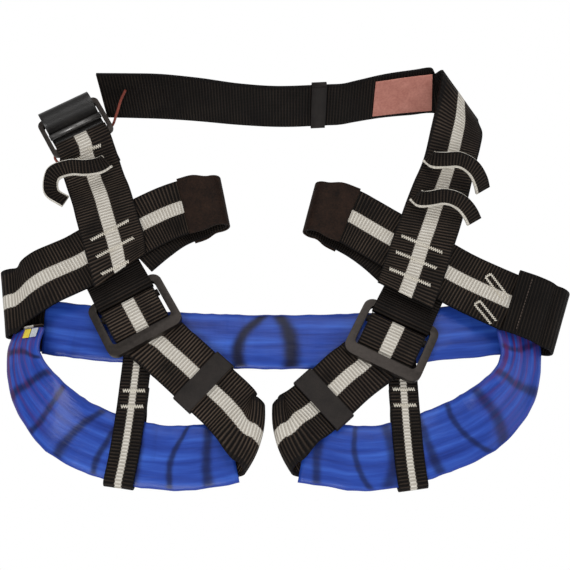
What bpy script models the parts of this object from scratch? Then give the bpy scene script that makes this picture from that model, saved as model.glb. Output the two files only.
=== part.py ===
"""Sit harness laid out flat: belt, tie-in straps, leg loops, seat band and their buckles.

Every strap is a ribbon that follows a list of stations. A station is the middle of the strap and
half of its width as a vector. All places below are in millimetres on the lay-out plane, with X to
the wearer's left hand as the harness lies, Y away from the leg loops and Z up.
"""

import math

import bmesh
import bpy
from mathutils import Matrix, Vector

MM = 0.001
LAYOUT_SHIFT = Vector((0.4, -4.7, 0.0))  # brings the middle of the base to the origin

BELT_WEBBING = 43.5  # widths of the three sizes of webbing
LEG_WEBBING = 40.5
DROP_WEBBING = 20.0
WEBBING_THICK = 2.0
DROP_THICK = 1.6
SLEEVE_WIDTH = 43.5
SLEEVE_HEIGHT = 5.0
SLEEVE_WALL = 0.8
SEAT_WIDTH = 40.0
SEAT_WEBBING = 36.0
FLOOR_GAP = 2.2  # the sleeves lie on the returns of the drop straps
SLEEVE_Z = FLOOR_GAP + SLEEVE_HEIGHT / 2

ARM_Z = 18.4  # stack of layers where an arm is sewn to its tie-in strap
TIE_UPPER_Z = 16.0
TIE_LOWER_Z = 13.6
LOOP_UPPER_Z = 11.0
LOOP_LOWER_Z = 8.6
DROP_UPPER_Z = 8.3
DROP_LOWER_Z = 0.8
LEG_STANDING_Z = 10.6
LEG_TAIL_Z = 13.0

BUCKLE_LENGTH = 56.0
BUCKLE_DEPTH = 45.0
BUCKLE_THICK = 4.4
BUCKLE_LOWER_RAIL = 8.5
BUCKLE_UPPER_RAIL = 4.8
BUCKLE_SIDE_RAIL = 5.5
BUCKLE_Z = 15.2
BUCKLE_TILT = math.atan2(6.0, BUCKLE_DEPTH)  # the lower rail rides on the seat band
BAR_OFFSET = 7.8
BAR_RADIUS = 2.5
PIN_RADIUS = 1.2
WRAP_RADIUS = 3.9  # middle of a webbing turn round a bar, with a 0.4 gap

CROTCH_FOLD_RADIUS = 5.6
CROTCH_FOLD_BOW = 4.0
ROLL_LEAD = 1.6  # straight length on each side of a turn

COLLECTION = "sit_harness"
COLOURS = {
    "webbing": ((0.012, 0.010, 0.010), 0.75, 0.0),
    "cover": ((0.015, 0.012, 0.012), 0.55, 0.0),
    "sleeve": ((0.040, 0.090, 0.480), 0.30, 0.0),
    "dark_metal": ((0.070, 0.065, 0.062), 0.35, 0.9),
    "grey_metal": ((0.420, 0.410, 0.390), 0.35, 0.9),
    "loop": ((0.020, 0.018, 0.017), 0.50, 0.0),
    "label": ((0.560, 0.230, 0.190), 0.60, 0.0),
    "cord": ((0.230, 0.050, 0.045), 0.45, 0.0),
    "yellow": ((0.800, 0.620, 0.060), 0.50, 0.0),
    "grey": ((0.450, 0.460, 0.480), 0.45, 0.0),
}


def direction(heading, lift=0.0):
    """Unit vector at a heading in the plane, in degrees from +X, raised by lift degrees."""
    flat = math.cos(math.radians(lift))
    return Vector(
        (
            flat * math.cos(math.radians(heading)),
            flat * math.sin(math.radians(heading)),
            math.sin(math.radians(lift)),
        )
    )


def flat_station(x, y, z, heading, width, bank=0.0, bow=None):
    """A station of a strap that runs at a heading. Bank lifts the edge to the left of its run."""
    return Vector((x, y, z)), direction(heading + 90, bank) * width / 2, bow or Vector()


def on_edge_station(x, y, lean, width, heading=0.0, z=0.3):
    """A station of a strap that stands on its lower edge and leans back from it."""
    half = direction(heading + 90, lean) * width / 2
    return Vector((x, y, z)) + half, half, Vector()


def roll_stations(axis, half, radius, start, end, steps, outward, drift=None, bow=None):
    """Stations round an axis point, from the angle start to end: 0 is up and 90 is outward."""
    made = []
    lift = Vector((0, 0, 1))
    sense = 1 if end > start else -1
    for step in range(steps + 1):
        share = step / steps
        angle = math.radians(start + (end - start) * share)
        centre = axis + radius * (math.cos(angle) * lift + math.sin(angle) * outward)
        run = sense * (math.cos(angle) * outward - math.sin(angle) * lift)
        if drift:
            centre = centre + drift * (2 * share - 1)
        station = (centre, half.copy(), bow.copy() if bow else Vector())
        if step == 0:
            made.append((centre - run * ROLL_LEAD, station[1], station[2]))
        made.append(station)
        if step == steps:
            made.append((centre + run * ROLL_LEAD, station[1], station[2]))
    return made


def smooth(stations, spacing, turn=18.0):
    """Stations resampled on a smooth curve, closer together where the strap turns."""
    points = [station[0] for station in stations]
    steps = [max((b - a).length, 1e-6) for a, b in zip(points, points[1:])]

    def tangent(values, i):
        if i == 0:
            return (values[1] - values[0]) / steps[0]
        if i == len(values) - 1:
            return (values[-1] - values[-2]) / steps[-1]
        before = (values[i] - values[i - 1]) / steps[i - 1]
        after = (values[i + 1] - values[i]) / steps[i]
        return (before * steps[i] + after * steps[i - 1]) / (steps[i - 1] + steps[i])

    tangents = [[tangent([s[k] for s in stations], i) for i in range(len(stations))] for k in range(3)]
    made = [stations[0]]
    for i, length in enumerate(steps):
        bend = math.degrees(tangents[0][i].angle(tangents[0][i + 1], 0.0))
        swing = math.degrees(stations[i][1].angle(stations[i + 1][1], 0.0))
        count = max(1, math.ceil(length / spacing), math.ceil(bend / turn), math.ceil(swing / turn))
        for j in range(1, count + 1):
            t = j / count
            blend = (
                2 * t**3 - 3 * t**2 + 1,
                (t**3 - 2 * t**2 + t) * length,
                3 * t**2 - 2 * t**3,
                (t**3 - t**2) * length,
            )
            made.append(
                tuple(
                    blend[0] * stations[i][k]
                    + blend[1] * tangents[k][i]
                    + blend[2] * stations[i + 1][k]
                    + blend[3] * tangents[k][i + 1]
                    for k in range(3)
                )
            )
    return made


def material(name):
    """One Principled material for each object that asks for it."""
    colour, roughness, metallic = COLOURS[name]
    made = bpy.data.materials.new(name)
    made.use_nodes = True
    shader = made.node_tree.nodes["Principled BSDF"]
    shader.inputs["Base Color"].default_value = (*colour, 1)
    shader.inputs["Roughness"].default_value = roughness
    shader.inputs["Metallic"].default_value = metallic
    made.diffuse_color = (*colour, 1)
    return made


def add_object(name, mesh, finish):
    """The mesh as a named object of the harness, with its finish."""
    made = bpy.data.objects.new(name, mesh)
    mesh.materials.clear()
    mesh.materials.append(material(finish))
    bpy.data.collections[COLLECTION].objects.link(made)
    return made


def move_origin(made, origin):
    """Puts the object's origin on a point of the lay-out, which stays where it is."""
    shift = (origin + LAYOUT_SHIFT) * MM
    made.data.transform(Matrix.Translation(-shift))
    made.location = shift


def grid_mesh(name, rows, columns):
    """A plain grid whose vertices are then placed by the shape that asks for it."""
    bm = bmesh.new()
    bmesh.ops.create_grid(bm, x_segments=rows, y_segments=columns, size=1)
    mesh = bpy.data.meshes.new(name)
    bm.to_mesh(mesh)
    bm.free()
    return mesh


def place(point):
    return (point + LAYOUT_SHIFT) * MM


def ribbon(name, stations, finish, thick=WEBBING_THICK, across=2, spacing=9.0, turn=18.0, side=0.0):
    """A strap of even thickness along the stations."""
    path = smooth(stations, spacing, turn)
    mesh = grid_mesh(name, len(path) - 1, across)
    for vertex in mesh.vertices:
        centre, half, bow = path[round((vertex.co.x + 1) / 2 * (len(path) - 1))]
        v = vertex.co.y
        vertex.co = place(centre + half * v + bow * (v * v - 1 / 3))
    made = add_object(name, mesh, finish)
    solid = made.modifiers.new("thickness", "SOLIDIFY")
    solid.thickness = thick * MM
    solid.offset = side
    solid.use_even_offset = True
    return made


def stadium(width, height, side_steps, flat_steps):
    """Points round a flat section with round edges, as (across, up)."""
    radius = height / 2
    reach = width / 2 - radius
    points = []
    for side in (1, -1):
        for step in range(side_steps):
            angle = math.radians(-90 + 180 * step / side_steps)
            points.append((side * (reach + radius * math.cos(angle)), side * radius * math.sin(angle)))
        for step in range(flat_steps):
            points.append((side * (reach - 2 * reach * step / flat_steps), side * radius))
    return points


def sleeve(name, stations, width, height, wall, finish, spacing=12.0, turn=18.0, side_steps=4, flat_steps=4):
    """A flat hose along the stations, open at both ends."""
    path = smooth(stations, spacing, turn)
    section = stadium(width, height, side_steps, flat_steps)
    mesh = grid_mesh(name, len(path) - 1, len(section))
    for vertex in mesh.vertices:
        row = round((vertex.co.x + 1) / 2 * (len(path) - 1))
        column = round((vertex.co.y + 1) / 2 * len(section)) % len(section)
        centre, half, _ = path[row]
        run = path[min(row + 1, len(path) - 1)][0] - path[max(row - 1, 0)][0]
        normal = run.cross(half).normalized()
        out, up = section[column]
        vertex.co = place(centre + half * (out / (width / 2)) + normal * up)
    bm = bmesh.new()
    bm.from_mesh(mesh)
    bmesh.ops.remove_doubles(bm, verts=bm.verts, dist=1e-7)
    bmesh.ops.recalc_face_normals(bm, faces=bm.faces)
    bm.to_mesh(mesh)
    bm.free()
    made = add_object(name, mesh, finish)
    solid = made.modifiers.new("wall", "SOLIDIFY")
    solid.thickness = wall * MM
    solid.offset = -1
    solid.use_even_offset = True
    return made


def ring_section(name, width, height, corner, steps=4):
    """A flat plate with round corners in the XY plane, as a closed face ready to extrude."""
    curve = bpy.data.curves.new(name, "CURVE")
    curve.dimensions = "2D"
    curve.fill_mode = "BOTH"
    points = []
    for sx, sy, start in ((1, 1, 0), (-1, 1, 90), (-1, -1, 180), (1, -1, 270)):
        for step in range(steps + 1):
            angle = math.radians(start + 90 * step / steps)
            x = sx * (width / 2 - corner) + corner * math.cos(angle)
            y = sy * (height / 2 - corner) + corner * math.sin(angle)
            points.append((x, y))
    return curve, points


def add_spline(curve, points, shift=(0.0, 0.0)):
    """A closed straight-sided outline in the curve."""
    spline = curve.splines.new("POLY")
    spline.points.add(len(points) - 1)
    for point, (x, y) in zip(spline.points, points):
        point.co = ((x + shift[0]) * MM, (y + shift[1]) * MM, 0, 1)
    spline.use_cyclic_u = True


def ring(name, outer, inner, thick, corners, shift, finish, matrix, edge=0.0):
    """A flat frame: an outline with a hole, given a thickness and soft edges."""
    curve, points = ring_section(name, outer[0], outer[1], corners[0])
    add_spline(curve, points)
    hole = ring_section(name + "_hole", inner[0], inner[1], corners[1], 3)
    add_spline(curve, hole[1], shift)
    bpy.data.curves.remove(hole[0])
    curve.extrude = thick / 2 * MM
    holder = bpy.data.objects.new(name + "_outline", curve)
    bpy.data.collections["cutters"].objects.link(holder)
    holder.hide_render = True
    bpy.context.view_layer.update()
    mesh = bpy.data.meshes.new_from_object(holder.evaluated_get(bpy.context.evaluated_depsgraph_get()))
    bpy.data.objects.remove(holder)
    bpy.data.curves.remove(curve)
    bm = bmesh.new()
    bm.from_mesh(mesh)
    bmesh.ops.remove_doubles(bm, verts=bm.verts, dist=1e-7)
    bmesh.ops.recalc_face_normals(bm, faces=bm.faces)
    bm.to_mesh(mesh)
    bm.free()
    made = add_object(name, mesh, finish)
    made.matrix_world = matrix
    if edge:
        bevel = made.modifiers.new("soft edges", "BEVEL")
        bevel.width = edge * MM
        bevel.segments = 2
        bevel.limit_method = "ANGLE"
        bevel.angle_limit = math.radians(60)
    return made


def bar(name, radius, pin, inner, outer, finish, matrix):
    """A round bar along X with thinner ends, turned from its profile."""
    mesh = bpy.data.meshes.new(name)
    profile = [(-outer, 0), (-outer, pin), (-inner, pin), (-inner, radius)]
    profile += [(-along, out) for along, out in reversed(profile)]
    mesh.from_pydata(
        [(along * MM, 0, out * MM) for along, out in profile],
        [(i, i + 1) for i in range(len(profile) - 1)],
        [],
    )
    made = add_object(name, mesh, finish)
    made.matrix_world = matrix
    turned = made.modifiers.new("turned", "SCREW")
    turned.axis = "X"
    turned.steps = 16
    turned.render_steps = 16
    turned.use_merge_vertices = True
    turned.merge_threshold = 1e-6
    turned.use_normal_calculate = True
    turned.use_normal_flip = True
    return made


def drill(target, radius, length, matrix):
    """A round hole along X through both side rails of a frame."""
    bm = bmesh.new()
    bmesh.ops.create_cone(
        bm,
        cap_ends=True,
        segments=16,
        radius1=radius * MM,
        radius2=radius * MM,
        depth=length * MM,
        matrix=Matrix.Rotation(math.radians(90), 4, "Y"),
    )
    mesh = bpy.data.meshes.new(target.name + "_drill")
    bm.to_mesh(mesh)
    bm.free()
    tool = bpy.data.objects.new(target.name + "_drill", mesh)
    tool.matrix_world = matrix
    tool.hide_render = True
    tool.display_type = "WIRE"
    bpy.data.collections["cutters"].objects.link(tool)
    step = target.modifiers.new("bar holes", "BOOLEAN")
    step.operation = "DIFFERENCE"
    step.solver = "EXACT"
    step.object = tool


def frame_matrix(x, y, z, heading, tilt=0.0):
    """Axes of a buckle: X along its bars, Y towards its upper rail, tilted down by tilt."""
    return (
        Matrix.Translation(place(Vector((x, y, z))))
        @ Matrix.Rotation(math.radians(heading), 4, "Z")
        @ Matrix.Rotation(-tilt, 4, "X")
    )


def bend_stations(corner, half, d1, d2, radius, steps):
    """Stations of a soft crease along half at a corner, from the direction d1 to d2."""
    turn = d1.angle(d2)
    normal = (d1 * math.cos(turn) - d2).normalized()
    axis = corner - d1 * radius * math.tan(turn / 2) - normal * radius
    made = []
    for step in range(steps + 1):
        angle = turn * step / steps
        centre = axis + radius * (math.cos(angle) * normal + math.sin(angle) * d1)
        made.append((centre, half.copy(), Vector()))
    return made


def rail_station(outer, inner, width=None):
    """A station between two edge points. A width keeps its middle and its direction."""
    outer = Vector(outer)
    inner = Vector(inner)
    half = (inner - outer) / 2
    if width:
        half = half.normalized() * width / 2
    return (outer + inner) / 2, half, Vector()


def beside(stations, distance, scale=1.0, across=0.0):
    """The same stations moved along their normal, narrowed, and moved sideways by a share of the width."""
    made = []
    for i, (centre, half, bow) in enumerate(stations):
        run = stations[min(i + 1, len(stations) - 1)][0] - stations[max(i - 1, 0)][0]
        normal = run.cross(half).normalized()
        made.append((centre + normal * distance + half * across, half * scale, bow))
    return made


def waist_buckle():
    """Frame and bar of the waist adjuster. Returns its place, bar direction and strap direction."""
    matrix = frame_matrix(-159.5, 122.5, 15, 30)
    frame = ring(
        "waist_buckle_frame", (50, 34), (43, 25), 4.0, (5, 2.5), (0, 0), "dark_metal", matrix, 0.6
    )
    lifted = matrix @ Matrix.Translation((0, 1 * MM, 0))
    drill(frame, 1.2, 60, lifted)
    bar("waist_buckle_bar", 2.2, 0.9, 21.1, 24.4, "grey_metal", lifted)


def belt_stations():
    """The back band from the left end to the fold at the right corner, then the right arm."""
    band = [
        (-139.5, 140.2, 76.7, 2),
        (-117.3, 139.6, 76.0, -1),
        (-95.2, 138.8, 75.5, -2),
        (-66.8, 136.6, 77.0, -6),
        (-35.3, 133.4, 80.0, -5),
        (-4.7, 131.7, 81.0, 0),
        (9, 131.9, 81.0, 3),
        (17.25, 132.325, 81.0, 3),
        (33.75, 133.175, 81.0, 3),
        (42, 133.6, 81.0, 3),
        (54.3, 136.0, 80.0, 7),
        (74.8, 139.8, 77.5, 6),
        (97.8, 142.3, 75.0, 6),
    ]
    stations = []
    for x, y, lean, heading in band:
        stations.append(on_edge_station(x, y, lean, BELT_WEBBING, heading, 1.9))
    fold_top = Vector((117.8, 156.0, 42.5))
    fold_bottom = Vector((150.6, 137.6, 4.6))
    stations.append(rail_station((119, 143.6, 2.4), (108.5, 155.4, 43.8)))
    crease = (fold_top - fold_bottom) / 2
    along = crease.normalized()
    incoming = Vector((1, 0.1, 0))
    incoming = (incoming - along * incoming.dot(along)).normalized()
    outgoing = Vector((-0.1, -1, 0.05))
    outgoing = (outgoing - along * outgoing.dot(along)).normalized()
    corner = (fold_top + fold_bottom) / 2
    stations.append((corner - incoming * 6, crease.copy(), Vector()))
    stations += bend_stations(corner, crease, incoming, outgoing, 2.4, 5)
    stations += [
        rail_station((152.2, 124, 5.0), (114.3, 136, 32)),
        rail_station((150.5, 110, 5.5), (108, 114, 26), 45),
        rail_station((146, 94, 6), (102, 93, 22), BELT_WEBBING),
        rail_station((137, 68, 9.5), (94.5, 73, 19), BELT_WEBBING),
        rail_station((130, 48, 14.5), (88, 56, 18.6), BELT_WEBBING),
        rail_station((124.5, 33, 18.3), (82.5, 41, 18.6), BELT_WEBBING),
        rail_station((119, 18, ARM_Z), (77, 28, ARM_Z), BELT_WEBBING),
        rail_station((114.3, 5, ARM_Z), (72.9, 16, ARM_Z), BELT_WEBBING),
        rail_station((102.4, -24.4, ARM_Z), (65.2, -4.5, ARM_Z)),
    ]
    return stations


def waist_belt():
    """The belt, its label, its slider and the turned end piece on the adjuster."""
    stations = belt_stations()
    ribbon("waist_belt", stations, "webbing", spacing=14)
    inner = [(74.8, 139.8, 77.5, 6), (97.8, 142.3, 75.0, 6)]
    flat = [on_edge_station(x, y, lean, BELT_WEBBING, heading, 1.9) for x, y, lean, heading in inner]
    flat.append(rail_station((119, 143.6, 2.4), (108.5, 155.4, 43.8)))
    first = flat[0][0].lerp(flat[1][0], -0.3)
    label = [(first, flat[0][1].copy(), Vector())] + flat[1:2]
    label.append((flat[1][0].lerp(flat[2][0], 0.9), flat[1][1].lerp(flat[2][1], 0.5), Vector()))
    ribbon("belt_label", beside(label, 2.0, 0.82), "label", 0.6, spacing=16)
    centre, half, _ = on_edge_station(25.5, 132.75, 81.0, BELT_WEBBING, 3.0, 1.9)
    upward = half.normalized()
    run = direction(3.0)
    facing = run.cross(upward).normalized()
    matrix = Matrix((upward, facing, upward.cross(facing))).transposed().to_4x4()
    matrix = Matrix.Translation(place(centre)) @ matrix
    ring("belt_keeper", (46.6, 5.4), (44.3, 3.0), 11, (1.2, 0.4), (0, 0), "loop", matrix)
    axis = Vector((-167.0, 135.5, 15.0))
    across = direction(30) * 20.6
    away = direction(120)
    roll = [
        (axis - away * 12 + Vector((0, 0, -6.6)), across.copy(), Vector()),
        (axis - away * 5 + Vector((0, 0, -6.9)), across.copy(), Vector()),
    ]
    roll += roll_stations(axis, across, 7.0, 180, 0, 9, away)
    roll += [
        (axis - away * 6 + Vector((0, 0, 5.6)), across.copy(), Vector()),
        (axis - away * 8.7 + Vector((0, 0, 2.5)), across.copy(), Vector()),
        (axis - away * 10.2 + Vector((0, 0, -0.8)), across.copy(), Vector()),
        (axis - away * 12.2 + Vector((0, 0, -3.6)), across.copy(), Vector()),
        (axis - away * 16 + Vector((0, 0, -4.4)), across.copy(), Vector()),
        (axis - away * 19 + Vector((0, 0, -4.4)), across.copy(), Vector()),
    ]
    ribbon("waist_belt_end", roll, "webbing", spacing=8)


def left_waist_strap():
    """The left arm, turned round the lower rail of the adjuster and sewn on the tie-in strap."""
    rail = Vector((-153.0, 111.3, 15.0))
    across = direction(29) * 20.6
    away = direction(118)
    stations = [
        (Vector((-143.6, 87.5, 11.0)), direction(25) * 21.3, Vector()),
        (Vector((-147.5, 97, 10.8)), across.copy(), Vector()),
        (rail - away * 5 + Vector((0, 0, -4.6)), across.copy(), Vector()),
    ]
    stations += roll_stations(rail, across, 4.7, 180, 0, 6, away)
    stations += [
        (rail - away * 6 + Vector((0, 0, 4.2)), across.copy(), Vector()),
        (Vector((-149, 99, 15.6)), direction(25) * 21.75, Vector()),
        (Vector((-145, 88, 14.2)), direction(22, 3) * 21.75, Vector()),
        (Vector((-141, 77, 13.8)), direction(19, 6) * 21.75, Vector()),
        (Vector((-134.6, 62, 17.6)), direction(19, 3) * 21.75, Vector()),
        (Vector((-131.2, 52, ARM_Z)), direction(19) * 21.75, Vector()),
        (Vector((-127.2, 40.1, ARM_Z)), direction(19) * 21.75, Vector()),
        (Vector((-121.9, 24.7, ARM_Z)), direction(22) * 21.75, Vector()),
        (Vector((-116.5, 5.0, ARM_Z)), direction(38) * 22.2, Vector()),
    ]
    ribbon("left_waist_strap", stations, "webbing", spacing=12)


def gear_loop(name, edge):
    """A stiff strip that stands off the arm, with its origin on the line through its ends."""
    stations = []
    for x, y, z, heading, bank in edge:
        half = direction(heading + 90, bank) * 6
        stations.append((Vector((x, y, z)) + half, half, Vector()))
    made = ribbon(name, stations, "webbing", 2.2, 1, 6.0, 22)
    first = stations[0][0]
    last = stations[-1][0]
    move_origin(made, (first + last) / 2)
    return made


def gear_loops():
    gear_loop(
        "left_gear_loop",
        [
            (-158, 62, 18.6, 165, 25),
            (-165, 66, 21, 120, 30),
            (-164.5, 72, 25, 55, 38),
            (-155, 75, 27, 8, 40),
            (-144, 74.5, 27.5, 2, 40),
            (-133, 77.5, 26, 25, 36),
            (-126.5, 84, 23.5, 55, 28),
        ],
    )
    gear_loop(
        "right_upper_gear_loop",
        [
            (101, 88, 24.6, 300, 20),
            (107, 81.5, 26.5, 345, 35),
            (116, 80, 28.5, 3, 40),
            (126, 80, 29, 352, 40),
            (134, 75.5, 26, 325, 30),
            (138.5, 69.5, 20.5, 305, 15),
            (141, 66, 14.5, 300, 5),
        ],
    )
    gear_loop(
        "right_lower_gear_loop",
        [
            (90, 57.5, 22.4, 300, 20),
            (95.5, 51, 24.4, 340, 35),
            (104, 50, 26.5, 3, 40),
            (114, 51, 28, 2, 40),
            (123, 48, 26, 328, 32),
            (128.5, 42.5, 22.5, 308, 15),
            (131.5, 38.5, 18.8, 300, 5),
        ],
    )


def tie_in(name, lower, loop, upper, finish="webbing"):
    """A tie-in strap: a lower layer, the loop end and an upper layer. Returns the loop's stations."""
    stations = [flat_station(x, y, z, heading, BELT_WEBBING) for x, y, z, heading in lower]
    x, y, z, radius, heading = loop
    turn = roll_stations(
        Vector((x, y, z)), direction(heading + 90) * 19.2, radius, 180, 0, 8, direction(heading)
    )
    back = [flat_station(x, y, z, heading, BELT_WEBBING) for x, y, z, heading in upper]
    return stations, turn, back


def left_tie_in():
    lower, turn, upper = tie_in(
        "left_tie_in_strap",
        [
            (-110, 21, TIE_LOWER_Z, 43),
            (-99.5, 31, TIE_LOWER_Z, 43),
            (-86, 42.5, 12.6, 38),
            (-75, 49.6, 10.6, 26),
            (-63, 55.0, 9.2, 17),
        ],
        (-51.5, 58.5, 14.0, 5.2, 12),
        [
            (-63, 56.5, 19.2, 13),
            (-74, 53.6, 18.7, 15),
            (-85, 50.0, 17.2, 22),
            (-96, 45.0, TIE_UPPER_Z, 28),
            (-107, 38.5, TIE_UPPER_Z, 32),
            (-120, 29.6, TIE_UPPER_Z, 34),
            (-139.9, 16.6, TIE_UPPER_Z, 33),
            (-147, 12.0, TIE_UPPER_Z, 32),
            (-157, 5.8, 18.2, 31),
            (-169, -1.6, 20.4, 28),
            (-180, -9.0, 18.2, 20),
            (-186, -13.5, 14.8, 13),
        ],
    )
    hip = Vector((-193.0, -17.0, 7.2))
    half = direction(101) * 24.5
    fold = roll_stations(hip, half, 6.2, 0, 180, 8, direction(191))
    back = [(hip + Vector((9, 1.5, -6.2)), half * 0.95, Vector())]
    back.append((hip + Vector((22, 4.0, -6.2)), half * 0.9, Vector()))
    ribbon("left_tie_in_strap", lower + turn + upper + fold + back, "webbing", spacing=13)
    over = [lower[3], lower[4]] + turn + upper[:2]
    ribbon("left_tie_in_cover", beside(over, -1.95, 1.04), "cover", 1.2, spacing=13)


def right_tie_in():
    lower, turn, upper = tie_in(
        "right_tie_in_strap",
        [
            (82.5, 12.5, TIE_LOWER_Z, 135),
            (72, 23.0, TIE_LOWER_Z, 136),
            (58.5, 34.5, 12.6, 143),
            (47, 42.6, 10.6, 151),
            (35.5, 49.4, 9.2, 161),
        ],
        (25.0, 53.5, 14.0, 5.2, 166),
        [
            (36, 50.6, 19.2, 165),
            (47, 46.4, 18.7, 158),
            (58, 40.2, 17.2, 151),
            (69, 33.6, TIE_UPPER_Z, 148),
            (80, 26.6, TIE_UPPER_Z, 147),
            (101, 13.0, TIE_UPPER_Z, 147),
            (124.3, -2.1, 16.4, 148),
            (140, -11.4, 18.4, 150),
            (151, -17.5, 19.8, 152),
            (158, -21.0, 20.0, 154),
        ],
    )
    ribbon("right_tie_in_strap", lower + turn + upper, "webbing", spacing=13)
    over = [lower[3], lower[4]] + turn + upper[:2]
    ribbon("right_tie_in_cover", beside(over, -1.95, 1.04), "cover", 1.2, spacing=13)


def right_hip_wrap():
    """A black band that holds the tie-in strap and the leg loop together at the right hip."""
    out = direction(-21)
    half = direction(69) * 23.5
    start = Vector((156.5, -19.0, 22.6))
    stations = [
        (start, half.copy(), Vector()),
        (start + out * 14 + Vector((0, 0, 0.2)), half.copy(), Vector()),
        (start + out * 24 + Vector((0, 0, -2.0)), half.copy(), Vector()),
    ]
    axis = start + out * 30.5
    axis.z = 9.4
    stations += roll_stations(axis, half, 8.4, 0, 180, 9, out)
    stations += [
        (Vector((axis.x, axis.y, 1.0)) - out * 8, half.copy(), Vector()),
        (Vector((axis.x, axis.y, 1.0)) - out * 22, half.copy(), Vector()),
    ]
    ribbon("right_hip_wrap", stations, "webbing", spacing=12)


LEFT_SLEEVE = [
    (-178.0, -38, 12.4, -92, 30, 0.68),
    (-180.6, -50, 12.6, -87, 31, 0.71),
    (-175.5, -71, 13.0, -62, 28, 0.83),
    (-163, -89, 11.4, -48, 20, 0.95),
    (-148, -103, 8.2, -36, 10, 1.0),
    (-132, -111.5, 5.7, -24, 3, 1.0),
    (-116, -117.5, SLEEVE_Z, -18, 0, 1.0),
    (-94.3, -122.6, SLEEVE_Z, -9, 0, 1.0),
    (-70.5, -124.6, SLEEVE_Z, 0, 0, 1.0),
    (-50, -122.8, SLEEVE_Z, 8, 0, 1.0),
    (-34.5, -119.8, SLEEVE_Z, 12, 0, 1.0),
]
RIGHT_SLEEVE = [
    (162.5, -38, 11.0, -88, 18, 0.80),
    (162.5, -58, 11.8, -98, 24, 0.80),
    (156.5, -76, 12.2, -118, 24, 0.88),
    (145, -90, 10.6, -136, 17, 0.96),
    (130, -101.5, 7.9, -148, 8, 1.0),
    (116, -108.5, 5.6, -155, 3, 1.0),
    (103, -113.5, SLEEVE_Z, -160, 0, 1.0),
    (84, -120.0, SLEEVE_Z, -164, 0, 1.0),
    (63, -124.2, SLEEVE_Z, -174, 0, 1.0),
    (42.5, -124.3, SLEEVE_Z, -184, 0, 1.0),
    (27, -121.6, SLEEVE_Z, -188, 0, 1.0),
    (12.4, -119.8, SLEEVE_Z, -191, 0, 1.0),
]


def leg_sleeve(name, rows, mirrored):
    """The blue sleeve of a leg loop. A mirrored one banks the other way."""
    sign = -1 if mirrored else 1
    stations = [
        flat_station(x, y, z, heading, SLEEVE_WIDTH * scale, sign * bank)
        for x, y, z, heading, bank, scale in rows
    ]
    made = sleeve(name, stations, SLEEVE_WIDTH, SLEEVE_HEIGHT, SLEEVE_WALL, "sleeve")
    return made


def leg_strap(name, rows, mirrored, crease, to_keeper, buckle_at, buckle_heading, tail_end):
    """Leg webbing: hip, sleeve, crotch turn, keeper, round the buckle bar and back to the keeper."""
    sign = -1 if mirrored else 1
    inside = 35.6 if mirrored else 36.4
    stations = []
    first = rows[0]
    run = direction(first[3])
    start = Vector(first[:3]) - run * 3
    stations.append(flat_station(start.x, start.y, start.z, first[3], inside * first[5], sign * first[4]))
    for x, y, z, heading, bank, scale in rows:
        stations.append(flat_station(x, y, z, heading, inside * scale, sign * bank))
    axis, crease_heading, outward, last = crease
    half = direction(crease_heading) * 22.3
    if mirrored:
        half = -half
    stations += roll_stations(
        Vector(axis),
        half,
        CROTCH_FOLD_RADIUS,
        180,
        0,
        8,
        direction(outward),
        direction(crease_heading) * 4.4,
        direction(outward) * -CROTCH_FOLD_BOW,
    )
    for x, y, z, heading in to_keeper:
        stations.append(flat_station(x, y, z, heading, LEG_WEBBING))
    up = direction(buckle_heading + 90)
    bar_z = BUCKLE_Z - BAR_OFFSET * math.tan(BUCKLE_TILT)
    bars = Vector((buckle_at[0], buckle_at[1], bar_z)) + Vector((up.x, up.y, 0)) * BAR_OFFSET
    across = direction(buckle_heading) * (LEG_WEBBING / 2)
    for s, z in ((-14, LEG_STANDING_Z), (-6, LEG_STANDING_Z - 0.1), (3, bar_z - WRAP_RADIUS)):
        stations.append((bars + up * (s - BAR_OFFSET) + Vector((0, 0, z - bar_z)), across.copy(), Vector()))
    stations += roll_stations(bars, across, WRAP_RADIUS, 180, 0, 6, up)
    for s, z in ((3, 18.9), (-2.5, 19.0), (-7, 18.0), (-11, 15.6), (-14.5, 13.4), (-19, LEG_TAIL_Z)):
        stations.append((bars + up * (s - BAR_OFFSET) + Vector((0, 0, z - bar_z)), across.copy(), Vector()))
    for x, y, heading in tail_end:
        stations.append(flat_station(x, y, LEG_TAIL_Z, heading, LEG_WEBBING))
    ribbon(name, stations, "webbing", spacing=12)


def leg_buckle(side, x, y, heading):
    """The adjuster of a leg loop: a frame and a round bar in its side rails."""
    matrix = frame_matrix(x, y, BUCKLE_Z, heading, BUCKLE_TILT)
    window = (BUCKLE_LENGTH - 2 * BUCKLE_SIDE_RAIL, BUCKLE_DEPTH - BUCKLE_LOWER_RAIL - BUCKLE_UPPER_RAIL)
    shift = (0, (BUCKLE_LOWER_RAIL - BUCKLE_UPPER_RAIL) / 2)
    frame = ring(
        side + "_leg_buckle_frame",
        (BUCKLE_LENGTH, BUCKLE_DEPTH),
        window,
        BUCKLE_THICK,
        (7, 3),
        shift,
        "dark_metal",
        matrix,
        0.7,
    )
    lifted = matrix @ Matrix.Translation((0, BAR_OFFSET * MM, 0))
    drill(frame, PIN_RADIUS + 0.3, BUCKLE_LENGTH + 6, lifted)
    inner = window[0] / 2 - 0.4
    bar(side + "_leg_buckle_bar", BAR_RADIUS, PIN_RADIUS, inner, BUCKLE_LENGTH / 2 - 0.6, "dark_metal", lifted)


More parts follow.
